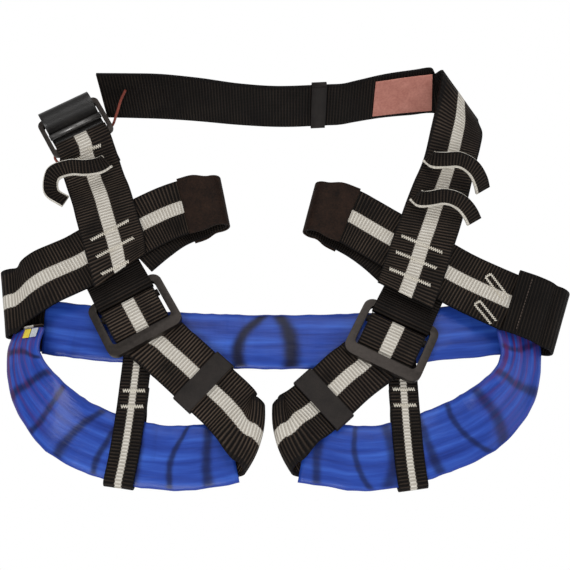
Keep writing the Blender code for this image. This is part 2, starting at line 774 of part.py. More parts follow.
def buckle_loop(side, x, y, heading, run_heading):
    """Short webbing that holds a leg buckle by its upper rail, with both ends under the tie-in strap."""
    up = direction(heading + 90)
    centre = Vector((x, y, 0))
    across = direction(heading) * (BELT_WEBBING / 2 - 0.6)
    layers = []
    for s, z in ((50, LOOP_LOWER_Z), (40, LOOP_LOWER_Z), (30, LOOP_LOWER_Z), (25, 8.6)):
        layers.append((centre + up * s + Vector((0, 0, z)), across.copy(), Vector()))
    axis = centre + up * 18.8 + Vector((0, 0, 12.6))
    layers += roll_stations(axis, across, 3.9, 180, 0, 6, -up)
    for s, z in ((23.5, 15.6), (27.5, 13.6), (32, 11.5), (37, LOOP_UPPER_Z), (50, LOOP_UPPER_Z)):
        layers.append((centre + up * s + Vector((0, 0, z)), across.copy(), Vector()))
    ribbon(side + "_buckle_loop", layers, "webbing", spacing=12)


def leg_keeper(side, x, y, heading):
    """A closed band that holds the tail on the leg strap and slides along it."""
    middle = (LEG_STANDING_Z + LEG_TAIL_Z) / 2
    inner = (LEG_WEBBING + 0.8, LEG_TAIL_Z - LEG_STANDING_Z + WEBBING_THICK + 0.8)
    outer = (inner[0] + 2.4, inner[1] + 2.4)
    matrix = (
        Matrix.Translation(place(Vector((x, y, middle))))
        @ Matrix.Rotation(math.radians(heading - 90), 4, "Z")
        @ Matrix.Rotation(math.radians(90), 4, "X")
    )
    ring(side + "_leg_keeper", outer, inner, 15, (1.8, 0.5), (0, 0), "loop", matrix)


def drop_strap(side, top, fold, back):
    """A narrow strap from the seat band down over the leg sleeve, round its edge and back up."""
    x, y, z, heading = fold
    stations = [flat_station(*row, DROP_WEBBING) for row in top]
    half = direction(heading) * DROP_WEBBING / 2
    stations += roll_stations(Vector((x, y, z)), half, 3.75, 0, 180, 7, direction(heading - 90))
    stations += [
        (Vector((x, y, z)), half.copy(), Vector())
        for x, y, z in back
    ]
    ribbon(side + "_drop_strap", stations, "webbing", DROP_THICK, spacing=12)


def seat_band():
    """The blue sleeve across the seat and the webbing inside it."""
    rows = [
        (-170, -33.3, 0),
        (-148, -36.0, -7),
        (-120, -39.0, -5),
        (-60, -43.0, -2),
        (0, -44.2, 0),
        (60, -42.5, 3),
        (110, -38.0, 6),
        (134, -35.5, 6),
        (152, -33.8, 5),
    ]
    stations = [flat_station(x, y, SLEEVE_Z, heading, SEAT_WIDTH) for x, y, heading in rows]
    sleeve("seat_band_sleeve", stations, SEAT_WIDTH, SLEEVE_HEIGHT, SLEEVE_WALL, "sleeve", spacing=20)
    rows = [(-174, -33.2, 0)] + rows + [(158, -33.2, 5)]
    stations = [flat_station(x, y, SLEEVE_Z, heading, SEAT_WEBBING) for x, y, heading in rows]
    ribbon("seat_band_webbing", stations, "webbing", spacing=20)


def hip_tags():
    """Two small tags on the left hip, half under the tie-in strap."""
    rows = LEFT_SLEEVE[:2]
    base = [
        flat_station(x, y, z, heading, SLEEVE_WIDTH * scale, bank)
        for x, y, z, heading, bank, scale in rows
    ]
    tall = [(base[0][0].lerp(base[1][0], share), base[0][1].copy(), Vector()) for share in (0.1, 0.62)]
    raised = beside(tall, 3.9)
    for name, across, finish in (("yellow_tag", 0.25, "yellow"), ("grey_tag", 0.7, "grey")):
        stations = [(centre + half * across, half * 0.19, bow) for centre, half, bow in raised]
        ribbon(name, stations, finish, 0.8, 1, 14)


def cord():
    """A round cord that hangs on the adjuster with a small loop."""
    curve = bpy.data.curves.new("buckle_cord", "CURVE")
    curve.dimensions = "3D"
    curve.bevel_depth = 1.0 * MM
    curve.bevel_resolution = 2
    curve.use_fill_caps = True
    curve.resolution_u = 3
    points = [
        (-119.8, 143.4, 33),
        (-124.5, 140.0, 25),
        (-129.0, 134.0, 16),
        (-135.0, 127.0, 7.0),
        (-147.0, 119.0, 4.4),
        (-160.0, 114.0, 4.2),
        (-171.0, 111.5, 5.0),
        (-176.0, 103.5, 6),
        (-171.5, 96.5, 6.2),
        (-164.0, 98.5, 6.0),
        (-160.0, 104.0, 5.0),
    ]
    spline = curve.splines.new("BEZIER")
    spline.bezier_points.add(len(points) - 1)
    for point, co in zip(spline.bezier_points, points):
        point.co = place(Vector(co))
        point.handle_left_type = "AUTO"
        point.handle_right_type = "AUTO"
    holder = bpy.data.objects.new("cord_path", curve)
    bpy.data.collections["cutters"].objects.link(holder)
    holder.hide_render = True
    bpy.context.view_layer.update()
    mesh = bpy.data.meshes.new_from_object(holder.evaluated_get(bpy.context.evaluated_depsgraph_get()))
    bpy.data.objects.remove(holder)
    bm = bmesh.new()
    bm.from_mesh(mesh)
    bmesh.ops.remove_doubles(bm, verts=bm.verts, dist=1e-7)
    bmesh.ops.recalc_face_normals(bm, faces=bm.faces)
    bm.to_mesh(mesh)
    bm.free()
    add_object("buckle_cord", mesh, "cord")


def leg_loops():
    leg_sleeve("left_leg_sleeve", LEFT_SLEEVE, False)
    leg_sleeve("right_leg_sleeve", RIGHT_SLEEVE, True)
    fold_z = (SLEEVE_Z + 16.0) / 2
    leg_strap(
        "left_leg_strap",
        LEFT_SLEEVE,
        False,
        ((-23.4, -112.2, fold_z), 74, -16, None),
        [
            (-33, -96.8, 13.4, -42),
            (-40.6, -88.3, LEG_STANDING_Z, -42),
            (-55.3, -75.0, LEG_STANDING_Z, -42),
            (-78.5, -54.2, LEG_STANDING_Z, -42),
            (-89.5, -45.6, LEG_STANDING_Z, -49),
        ],
        (-104.5, -28),
        30,
        [(-90.5, -45.0, -50), (-78.5, -54.2, -42), (-57.5, -73.0, -42)],
    )
    leg_strap(
        "right_leg_strap",
        RIGHT_SLEEVE,
        True,
        ((1.4, -112.2, fold_z), 106, 196, None),
        [
            (9.5, -99.5, 13.6, 222),
            (14.5, -96.2, 11.8, 222),
            (26.0, -86.7, LEG_STANDING_Z, 222),
            (49.5, -66.0, LEG_STANDING_Z, 222),
            (60.5, -59.5, LEG_STANDING_Z, 233),
        ],
        (73.5, -46),
        -26.5,
        [(60.8, -59.3, 233), (49.5, -66.0, 222), (28.2, -84.8, 222)],
    )
    leg_buckle("left", -104.5, -28, 30)
    leg_buckle("right", 73.5, -46, -26.5)
    buckle_loop("left", -104.5, -28, 30, 0)
    buckle_loop("right", 73.5, -46, -26.5, 0)
    leg_keeper("left", -55.3, -75.0, 138)
    leg_keeper("right", 26.0, -86.7, 42)
    drop_strap(
        "left",
        [
            (-101.8, -44, DROP_UPPER_Z, -90),
            (-102.4, -60, DROP_UPPER_Z, -91),
            (-103.3, -76, DROP_UPPER_Z, -91),
            (-104.5, -97, DROP_UPPER_Z + 0.4, -94),
            (-108.5, -134, DROP_UPPER_Z, -97),
        ],
        (-109.4, -139.9, 4.55, -8),
        [
            (-108.2, -131, 0.8),
            (-106, -112, 0.8),
            (-105.1, -102.5, 0.8),
            (-104.6, -98.0, 1.1),
            (-104.2, -94.0, 2.6),
            (-104, -90, 5.0),
            (-103.6, -86, 6.0),
            (-103, -76, 6.0),
        ],
    )
    drop_strap(
        "right",
        [
            (80.6, -51, DROP_UPPER_Z, -90),
            (81, -77, DROP_UPPER_Z, -89),
            (81.7, -105, DROP_UPPER_Z, -87),
            (83.3, -134, DROP_UPPER_Z, -84),
        ],
        (84.1, -141.2, 4.55, 8),
        [
            (83.0, -131, 0.8),
            (82, -112, 0.8),
            (81.9, -102.5, 0.8),
            (81.8, -98.0, 1.1),
            (81.6, -94.0, 2.6),
            (81.5, -90, 5.0),
            (81.2, -86, 6.0),
            (81, -77, 6.0),
        ],
    )


def build():
    for old in list(bpy.data.objects):
        bpy.data.objects.remove(old, do_unlink=True)
    for name in (COLLECTION, "cutters"):
        bpy.context.scene.collection.children.link(bpy.data.collections.new(name))
    waist_buckle()
    waist_belt()
    left_waist_strap()
    gear_loops()
    left_tie_in()
    right_tie_in()
    right_hip_wrap()
    leg_loops()
    seat_band()
    hip_tags()
    cord()
    for made in bpy.data.collections[COLLECTION].objects:
        for face in made.data.polygons:
            face.use_smooth = True


build()
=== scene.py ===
"""Sit harness laid out flat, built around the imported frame, with its webbing, sleeves and buckles."""

import math

import bmesh
import bpy
from mathutils import Matrix, Vector, noise


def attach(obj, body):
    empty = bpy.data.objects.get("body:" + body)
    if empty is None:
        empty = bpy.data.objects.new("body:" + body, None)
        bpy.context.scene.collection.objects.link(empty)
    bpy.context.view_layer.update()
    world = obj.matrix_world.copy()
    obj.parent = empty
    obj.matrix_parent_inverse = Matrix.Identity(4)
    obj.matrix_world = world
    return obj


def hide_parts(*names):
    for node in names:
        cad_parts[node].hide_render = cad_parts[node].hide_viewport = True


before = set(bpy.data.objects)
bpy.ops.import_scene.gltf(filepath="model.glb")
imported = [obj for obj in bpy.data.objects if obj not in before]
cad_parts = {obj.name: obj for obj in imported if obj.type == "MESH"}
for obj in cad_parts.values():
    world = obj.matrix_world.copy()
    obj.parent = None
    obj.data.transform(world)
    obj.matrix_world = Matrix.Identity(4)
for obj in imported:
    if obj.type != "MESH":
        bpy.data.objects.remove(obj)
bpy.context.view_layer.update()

bl_info = {
    "name": "Sit harness",
    "version": (1, 0, 0),
    "blender": (4, 5, 0),
    "location": "View3D > Sidebar > Harness",
    "description": "Builds a striped sit harness around its frame",
    "category": "Object",
}

MM = 0.001
LAYOUT_SHIFT = Vector((0.4, -4.7, 0.0))  # brings the middle of the base to the origin

BELT_WEBBING = 43.5  # widths of the three sizes of webbing
LEG_WEBBING = 40.5
DROP_WEBBING = 20.0
WEBBING_THICK = 2.0
DROP_THICK = 1.6
SLEEVE_WIDTH = 43.5
SLEEVE_HEIGHT = 5.0
SLEEVE_WALL = 0.8
SEAT_WIDTH = 40.0
SEAT_WEBBING = 36.0
FLOOR_GAP = 2.2  # the sleeves lie on the returns of the drop straps
SLEEVE_Z = FLOOR_GAP + SLEEVE_HEIGHT / 2

ARM_Z = 18.4  # stack of layers where an arm is sewn to its tie-in strap
TIE_UPPER_Z = 16.0
TIE_LOWER_Z = 13.6
LOOP_UPPER_Z = 11.0
LOOP_LOWER_Z = 8.6
DROP_UPPER_Z = 8.3
LEG_STANDING_Z = 10.6
LEG_TAIL_Z = 13.0

BUCKLE_LENGTH = 56.0
BUCKLE_DEPTH = 45.0
BUCKLE_THICK = 4.4
BUCKLE_LOWER_RAIL = 8.5
BUCKLE_UPPER_RAIL = 4.8
BUCKLE_SIDE_RAIL = 5.5
BUCKLE_Z = 15.2
BUCKLE_TILT = math.atan2(6.0, BUCKLE_DEPTH)  # the lower rail rides on the seat band
BAR_OFFSET = 7.8
BAR_RADIUS = 2.5
WRAP_RADIUS = 3.9  # middle of a webbing turn round a bar, with a 0.4 gap

CROTCH_FOLD_RADIUS = 5.6
CROTCH_FOLD_BOW = 4.0
ROLL_LEAD = 1.6  # straight length on each side of a turn

GEAR_LOOP_HALF = 6.0
FLAT_STITCH_STEP = 0.003  # a thread isn't laid where the surface steps more than this, in metres


def direction(heading, lift=0.0):
    """Unit vector at a heading in the plane, in degrees from +X, raised by lift degrees."""
    flat = math.cos(math.radians(lift))
    return Vector(
        (
            flat * math.cos(math.radians(heading)),
            flat * math.sin(math.radians(heading)),
            math.sin(math.radians(lift)),
        )
    )


def flat_station(x, y, z, heading, width, bank=0.0, bow=None):
    """A station of a strap that runs at a heading. Bank lifts the edge to the left of its run."""
    return Vector((x, y, z)), direction(heading + 90, bank) * width / 2, bow or Vector()


def on_edge_station(x, y, lean, width, heading=0.0, z=0.3):
    """A station of a strap that stands on its lower edge and leans back from it."""
    half = direction(heading + 90, lean) * width / 2
    return Vector((x, y, z)) + half, half, Vector()


def roll_stations(axis, half, radius, start, end, steps, outward, drift=None, bow=None):
    """Stations round an axis point, from the angle start to end: 0 is up and 90 is outward."""
    made = []
    lift = Vector((0, 0, 1))
    sense = 1 if end > start else -1
    for step in range(steps + 1):
        share = step / steps
        angle = math.radians(start + (end - start) * share)
        centre = axis + radius * (math.cos(angle) * lift + math.sin(angle) * outward)
        run = sense * (math.cos(angle) * outward - math.sin(angle) * lift)
        if drift:
            centre = centre + drift * (2 * share - 1)
        station = (centre, half.copy(), bow.copy() if bow else Vector())
        if step == 0:
            made.append((centre - run * ROLL_LEAD, station[1], station[2]))
        made.append(station)
        if step == steps:
            made.append((centre + run * ROLL_LEAD, station[1], station[2]))
    return made


def smooth(stations, spacing, turn=18.0):
    """Stations resampled on a smooth curve, closer together where the strap turns."""
    points = [station[0] for station in stations]
    steps = [max((b - a).length, 1e-6) for a, b in zip(points, points[1:])]

    def tangent(values, i):
        if i == 0:
            return (values[1] - values[0]) / steps[0]
        if i == len(values) - 1:
            return (values[-1] - values[-2]) / steps[-1]
        before = (values[i] - values[i - 1]) / steps[i - 1]
        after = (values[i + 1] - values[i]) / steps[i]
        return (before * steps[i] + after * steps[i - 1]) / (steps[i - 1] + steps[i])

    tangents = [[tangent([s[k] for s in stations], i) for i in range(len(stations))] for k in range(3)]
    made = [stations[0]]
    for i, length in enumerate(steps):
        bend = math.degrees(tangents[0][i].angle(tangents[0][i + 1], 0.0))
        swing = math.degrees(stations[i][1].angle(stations[i + 1][1], 0.0))
        count = max(1, math.ceil(length / spacing), math.ceil(bend / turn), math.ceil(swing / turn))
        for j in range(1, count + 1):
            t = j / count
            blend = (
                2 * t**3 - 3 * t**2 + 1,
                (t**3 - 2 * t**2 + t) * length,
                3 * t**2 - 2 * t**3,
                (t**3 - t**2) * length,
            )
            made.append(
                tuple(
                    blend[0] * stations[i][k]
                    + blend[1] * tangents[k][i]
                    + blend[2] * stations[i + 1][k]
                    + blend[3] * tangents[k][i + 1]
                    for k in range(3)
                )
            )
    return made


def place(point):
    """A point of the lay-out in metres, in the frame."""
    return (point + LAYOUT_SHIFT) * MM


def frame_matrix(x, y, z, heading, tilt=0.0):
    """Axes of a buckle: X along its bars, Y towards its upper rail, tilted down by tilt."""
    return (
        Matrix.Translation(place(Vector((x, y, z))))
        @ Matrix.Rotation(math.radians(heading), 4, "Z")
        @ Matrix.Rotation(-tilt, 4, "X")
    )


def bend_stations(corner, half, d1, d2, radius, steps):
    """Stations of a soft crease along half at a corner, from the direction d1 to d2."""
    turn = d1.angle(d2)
    normal = (d1 * math.cos(turn) - d2).normalized()
    axis = corner - d1 * radius * math.tan(turn / 2) - normal * radius
    made = []
    for step in range(steps + 1):
        angle = turn * step / steps
        centre = axis + radius * (math.cos(angle) * normal + math.sin(angle) * d1)
        made.append((centre, half.copy(), Vector()))
    return made


def rail_station(outer, inner, width=None):
    """A station between two edge points. A width keeps its middle and its direction."""
    outer = Vector(outer)
    inner = Vector(inner)
    half = (inner - outer) / 2
    if width:
        half = half.normalized() * width / 2
    return (outer + inner) / 2, half, Vector()


def beside(stations, distance, scale=1.0, across=0.0):
    """The same stations moved along their normal, narrowed, and moved sideways by a share of the width."""
    made = []
    for i, (centre, half, bow) in enumerate(stations):
        run = stations[min(i + 1, len(stations) - 1)][0] - stations[max(i - 1, 0)][0]
        normal = run.cross(half).normalized()
        made.append((centre + normal * distance + half * across, half * scale, bow))
    return made


BODIES = {
    "belt_keeper": "belt_slider",
    "left_leg_keeper": "left_keeper",
    "right_leg_keeper": "right_keeper",
    "left_gear_loop": "left_gear",
    "right_upper_gear_loop": "right_upper_gear",
    "right_lower_gear_loop": "right_lower_gear",
}


class Graph:
    """Short words for building one material's nodes."""

    def __init__(self, name):
        self.made = bpy.data.materials.new(name)
        self.made.use_nodes = True
        self.tree = self.made.node_tree
        self.shader = self.tree.nodes["Principled BSDF"]

    def node(self, kind, inputs=None, **settings):
        made = self.tree.nodes.new(kind)
        for key, value in settings.items():
            setattr(made, key, value)
        for key, value in (inputs or {}).items():
            self.feed(made.inputs[key], value)
        return made

    def feed(self, socket, value):
        if isinstance(value, bpy.types.NodeSocket):
            self.tree.links.new(value, socket)
        else:
            socket.default_value = value

    def math(self, operation, a, b=0.0, c=0.0, clamp=False):
        made = self.node("ShaderNodeMath", {0: a, 1: b, 2: c}, operation=operation, use_clamp=clamp)
        return made.outputs[0]

    def noise(self, scale, detail=3.0, stretch=(1, 1, 1), rough=0.55):
        """Noise in the strap's own coordinates, in metres."""
        place_at = self.node("ShaderNodeMapping", {0: self.surface(), "Scale": stretch})
        made = self.node(
            "ShaderNodeTexNoise",
            {"Vector": place_at.outputs[0], "Scale": scale, "Detail": detail, "Roughness": rough},
        )
        return made.outputs["Fac"]

    def surface(self):
        if not hasattr(self, "uv"):
            self.uv = self.node("ShaderNodeUVMap", uv_map="surface").outputs[0]
        return self.uv

    def solid_noise(self, scale, detail=3.0):
        made = self.node(
            "ShaderNodeTexNoise",
            {"Vector": self.node("ShaderNodeTexCoord").outputs["Object"], "Scale": scale, "Detail": detail},
        )
        return made.outputs["Fac"]

    def axes(self):
        split = self.node("ShaderNodeSeparateXYZ", {0: self.surface()})
        return split.outputs[0], split.outputs[1]

    def ramp(self, value, *stops):
        made = self.node("ShaderNodeValToRGB", {0: value})
        points = made.color_ramp.elements
        while len(points) < len(stops):
            points.new(0.5)
        for point, (at, colour) in zip(points, stops):
            point.position = at
            point.color = (*colour, 1)
        return made.outputs[0]

    def mix(self, share, a, b):
        made = self.node("ShaderNodeMix", data_type="RGBA")
        self.feed(made.inputs[0], share)
        self.feed(made.inputs[6], a if isinstance(a, bpy.types.NodeSocket) else (*a, 1))
        self.feed(made.inputs[7], b if isinstance(b, bpy.types.NodeSocket) else (*b, 1))
        return made.outputs[2]

    def finish(self, colour, roughness, height=None, distance=0.0004, strength=1.0, **fixed):
        self.feed(self.shader.inputs["Base Color"], colour)
        self.feed(self.shader.inputs["Roughness"], roughness)
        for key, value in fixed.items():
            self.shader.inputs[key.replace("_", " ")].default_value = value
        if height is not None:
            bump = self.node(
                "ShaderNodeBump", {"Height": height, "Strength": strength, "Distance": distance}
            )
            self.feed(self.shader.inputs["Normal"], bump.outputs[0])
        return self.made


def webbing_material(name, half_width, stripe, settings, lit=1.0, piping=0):
    """Ribbed webbing with a painted highlight on its rib crests, scaled by lit. Stripe is the half width of
    its pale middle line, and 0 leaves it plain.
    """
    g = Graph(name)
    along, across = g.axes()
    wander = g.noise(260, 2, (0.25, 1, 1))
    phase = g.math("MULTIPLY_ADD", along, 2 * math.pi / settings.rib_pitch, wander)
    rib = g.math("MULTIPLY_ADD", g.math("SINE", phase), 0.5, 0.5)
    warp = g.math("MULTIPLY_ADD", g.math("SINE", g.math("MULTIPLY", across, 2 * math.pi / 0.0016)), 0.5, 0.5)
    fibre = g.noise(1500, 2, (0.3, 1, 1))
    # Painted highlight: the rib crests are painted a brownish light colour in noisy patches, stronger as lit
    # grows.
    crest = g.math("POWER", rib, 2.2)
    painted_crest_highlight = g.math("MULTIPLY", crest, g.math("MULTIPLY_ADD", g.noise(40, 3), 1.5, -0.25, True))
    shine = g.math("MULTIPLY", painted_crest_highlight, 0.40 * lit, clamp=True)
    dark = g.mix(fibre, (0.0012, 0.0010, 0.0010), (0.0060, 0.0045, 0.0040))
    colour = g.mix(shine, dark, (0.230, 0.165, 0.120))
    if piping:
        outward = g.math("SUBTRACT", g.math("MULTIPLY", across, piping), half_width - 0.0019)
        rolled = g.math("MULTIPLY", outward, 3000, clamp=True)
    if stripe:
        edge = g.math("MULTIPLY_ADD", rib, 0.0005, g.math("ABSOLUTE", across))
        inside = g.math("MULTIPLY", g.math("SUBTRACT", stripe, edge), 2200, clamp=True)
        pale = g.mix(g.noise(120, 4), (0.60, 0.555, 0.475), (0.86, 0.83, 0.76))
        # Painted shade mixed with grime: the pale stripe darkens towards brown in the troughs between the
        # ribs.
        trough_shade_and_grime = g.mix(g.math("MULTIPLY", g.math("SUBTRACT", 1.0, rib), 0.55), pale, (0.200, 0.160, 0.120))
        colour = g.mix(inside, colour, trough_shade_and_grime)
    rim = g.math("SUBTRACT", g.math("ABSOLUTE", across), half_width - 0.0016)
    selvedge = g.math("MULTIPLY", rim, 900, clamp=True)
    colour = g.mix(g.math("MULTIPLY", selvedge, 0.8), colour, (0.006, 0.005, 0.005))
    if piping:
        colour = g.mix(rolled, colour, g.mix(fibre, (0.50, 0.46, 0.38), (0.84, 0.80, 0.72)))
    height = g.math("MULTIPLY_ADD", warp, 0.25, g.math("MULTIPLY_ADD", fibre, 0.3, rib))
    rough = g.math("MULTIPLY_ADD", fibre, 0.25, 0.48)
    return g.finish(colour, rough, height, 0.0006, 0.9, Specular_IOR_Level=0.10)


def sleeve_material(name, ends, folds, half_width):
    """Coated blue fabric with streaks along it, painted shade in its folds, and painted red and violet shade
    towards one end.
    """
    g = Graph(name)
    along, across = g.axes()
    streak = g.noise(90, 4, (0.12, 1.6, 1))
    fine = g.noise(700, 2, (0.15, 1, 1))
    cross = g.noise(38, 3, (1.6, 0.25, 1))
    colour = g.ramp(
        streak,
        (0.30, (0.008, 0.026, 0.200)),
        (0.50, (0.018, 0.060, 0.360)),
        (0.72, (0.040, 0.125, 0.560)),
    )
    # Painted shade: where the cross noise is high, the folds across the sleeve are darkened towards navy.
    fold = g.math("MULTIPLY", g.math("SUBTRACT", cross, 0.62), 4.0, clamp=True)
    colour = g.mix(g.math("MULTIPLY", fold, 0.6), colour, (0.006, 0.010, 0.080))
    wobble = g.math("MULTIPLY_ADD", g.noise(45, 3), 0.006, -0.003)
    side = g.math("DIVIDE", across, half_width)
    bent = g.math("MULTIPLY", g.math("MULTIPLY", side, side), 0.001)
    # Painted shade in the creases: each fold in FOLDS darkens a band along its line by 1.4 times its depth,
    # at most 0.97.
    for at, slant, depth, breadth in folds:
        line = g.math("MULTIPLY_ADD", side, slant * MM, at * MM)
        line = g.math("ADD", line, g.math("MULTIPLY_ADD", bent, slant, wobble))
        gap = g.math("DIVIDE", g.math("SUBTRACT", along, line), breadth * MM)
        cubed = g.math("POWER", g.math("ABSOLUTE", gap), 3.0)
        dark = g.math("EXPONENT", g.math("MULTIPLY", cubed, -1.0))
        strength = min(0.97, 1.4 * abs(depth))
        colour = g.mix(g.math("MULTIPLY", dark, strength), colour, (0.002, 0.003, 0.020))
    # Painted shade tinted red and violet: noisy blotches within 75 mm of the sleeve's start.
    if ends:
        near = g.math("SUBTRACT", 1.0, g.math("MULTIPLY", along, 1 / 0.075), clamp=True)
        red_shade_patches = g.math("SUBTRACT", g.noise(150, 3, (0.12, 1.5, 1)), 0.46)
        wear_and_tinted_shade = g.math("MULTIPLY", red_shade_patches, 6.0, clamp=True)
        share = g.math("MULTIPLY", g.math("MULTIPLY", near, wear_and_tinted_shade), 0.85)
        colour = g.mix(share, colour, (0.130, 0.012, 0.070))
    rim = g.math("SUBTRACT", g.math("ABSOLUTE", across), half_width - 0.002)
    colour = g.mix(g.math("MULTIPLY", rim, 500, clamp=True), colour, (0.030, 0.060, 0.330))
    height = g.math("MULTIPLY_ADD", fine, 0.25, g.math("MULTIPLY_ADD", streak, 0.5, cross))
    rough = g.math("MULTIPLY_ADD", streak, 0.25, 0.22)
    gloss = {"Coat_Weight": 0.10, "Coat_Roughness": 0.15, "Specular_IOR_Level": 0.2}
    return g.finish(colour, rough, height, 0.0012, 0.6, **gloss)


def metal_material(name, low, high, rough):
    g = Graph(name)
    wear_and_tinted_shade = g.solid_noise(420, 6)
    broad = g.solid_noise(60, 4)
    colour = g.mix(g.math("MULTIPLY_ADD", wear_and_tinted_shade, 0.7, g.math("MULTIPLY", broad, 0.3)), low, high)
    roughness = g.math("MULTIPLY_ADD", wear_and_tinted_shade, 0.25, rough)
    return g.finish(colour, roughness, wear_and_tinted_shade, 0.00012, 0.5, Metallic=0.85)


def plain_material(name, low, high, rough, grain=1500, height=0.0002, shine=0.25):
    g = Graph(name)
    speck = g.solid_noise(grain, 4)
    broad = g.solid_noise(110, 4)
    share = g.math("MULTIPLY_ADD", speck, 0.5, g.math("MULTIPLY", broad, 0.5))
    sharp = g.math("MULTIPLY_ADD", share, 2.2, -0.6, True)
    roughness = g.math("MULTIPLY_ADD", speck, 0.2, rough)
    return g.finish(g.mix(sharp, low, high), roughness, speck, height, 0.6, Specular_IOR_Level=shine)


def grid(name, rows, columns, shape, uv):
    """A grid of faces placed by shape(row, column) with uv(row, column) in metres."""
    bm = bmesh.new()
    bmesh.ops.create_grid(bm, x_segments=rows, y_segments=columns, size=1)
    layer = bm.loops.layers.uv.new("surface")
    places = {}
    for vert in bm.verts:
        row = round((vert.co.x + 1) / 2 * rows)
        column = round((vert.co.y + 1) / 2 * columns)
        places[vert] = (row, column)
    for face in bm.faces:
        face.smooth = True
        for loop in face.loops:
            loop[layer].uv = uv(*places[loop.vert])
    for vert, (row, column) in places.items():
        vert.co = shape(row, column)
    mesh = bpy.data.meshes.new(name)
    bm.to_mesh(mesh)
    bm.free()
    return mesh


def lengths(path):
    """Distance along the path at each of its stations, in metres."""
    total = [0.0]
    for a, b in zip(path, path[1:]):
        total.append(total[-1] + (b[0] - a[0]).length * MM)
    return total


def show(name, mesh, materials, node=None):
    """The mesh as a shown piece that stands for its node and moves with its body."""
    made = bpy.data.objects.new("show_" + name, mesh)
    bpy.context.scene.collection.objects.link(made)
    for item in materials:
        mesh.materials.append(item)
    if node:
        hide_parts(node)
    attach(made, BODIES.get(node, "harness"))
    return made


def show_ribbon(name, stations, materials, thick, settings):
    """A strap along the stations, with close rows so that it bends softly."""
    path = smooth(stations, 2.6, 5.0)
    far = lengths(path)
    columns = 16

    def shape(row, column):
        centre, half, bow = path[row]
        v = column / columns * 2 - 1
        run = path[min(row + 1, len(path) - 1)][0] - path[max(row - 1, 0)][0]
        normal = run.cross(half)
        normal = normal.normalized() if normal.length > 1e-6 else Vector((0, 0, 1))
        ripple = noise.noise(Vector((far[row] * 38, v * 1.6, len(name)))) * settings.softness
        return place(centre + half * v + bow * (v * v - 1 / 3) + normal * ripple)

    def uv(row, column):
        return far[row], (column / columns * 2 - 1) * path[row][1].length * MM

    made = show(name, grid(name, len(path) - 1, columns, shape, uv), materials, name)
    solid = made.modifiers.new("thickness", "SOLIDIFY")
    solid.thickness = thick * MM
    solid.offset = 0
    solid.material_offset = 1 if len(materials) > 1 else 0
    solid.material_offset_rim = 1 if "gear" in name else 0
    edge = made.modifiers.new("soft edges", "BEVEL")
    edge.width = 0.28 * thick * MM
    edge.segments = 2
    edge.limit_method = "ANGLE"
    edge.angle_limit = math.radians(50)
    return made


def show_sleeve(name, stations, width, materials, folds, settings):
    """A coated sleeve with soft folds across it. Folds lists (distance along, slant, depth, breadth)."""
    path = smooth(stations, 2.6, 5.0)
    far = lengths(path)
    around = 56
    radius = SLEEVE_HEIGHT / 2

    def section(share):
        angle = share * 2 * math.pi
        power = 0.42
        across = math.copysign(abs(math.cos(angle)) ** power, math.cos(angle))
        up = math.copysign(abs(math.sin(angle)) ** 0.9, math.sin(angle))
        return across, up

    def shape(row, column):
        centre, half, _ = path[row]
        run = path[min(row + 1, len(path) - 1)][0] - path[max(row - 1, 0)][0]
        normal = run.cross(half).normalized()
        across, up = section(column / around)
        lift = 0.0
        for at, slant, depth, breadth in folds:
            gap = (far[row] / MM - at - slant * across) / breadth
            lift += FOLD_RELIEF * depth * math.exp(-gap * gap)
        wave = noise.noise(Vector((far[row] * 55, across * 1.3, 3.1))) * settings.wrinkle
        puff = noise.noise(Vector((far[row] * 150, across * 3.0, 7.7))) * settings.wrinkle * 0.35
        squeeze = 1 - 0.012 * abs(noise.noise(Vector((far[row] * 70, 0.3, 9.9)))) * 10 * settings.wrinkle
        body = max(0.0, 1 - abs(across) ** 6)
        rise = (wave + puff + lift) * body if up > 0 else (wave + puff) * 0.2 * body
        return place(centre + half * across * squeeze + normal * (up * radius + rise))

    def uv(row, column):
        across, _ = section(column / around)
        return far[row], across * width / 2 * MM

    mesh = grid(name, len(path) - 1, around, shape, uv)
    bm = bmesh.new()
    bm.from_mesh(mesh)
    bmesh.ops.remove_doubles(bm, verts=bm.verts, dist=1e-7)
    bmesh.ops.recalc_face_normals(bm, faces=bm.faces)
    bm.to_mesh(mesh)
    bm.free()
    made = show(name, mesh, materials, name)
    solid = made.modifiers.new("wall", "SOLIDIFY")
    solid.thickness = SLEEVE_WALL * MM
    solid.offset = -1
    return made


def outline(width, height, corner, shift=(0, 0), steps=8):
    points = []
    for sx, sy, start in ((1, 1, 0), (-1, 1, 90), (-1, -1, 180), (1, -1, 270)):
        for step in range(steps + 1):
            angle = math.radians(start + 90 * step / steps)
            x = sx * (width / 2 - corner) + corner * math.cos(angle) + shift[0]
            y = sy * (height / 2 - corner) + corner * math.sin(angle) + shift[1]
            points.append((x, y))
    return points


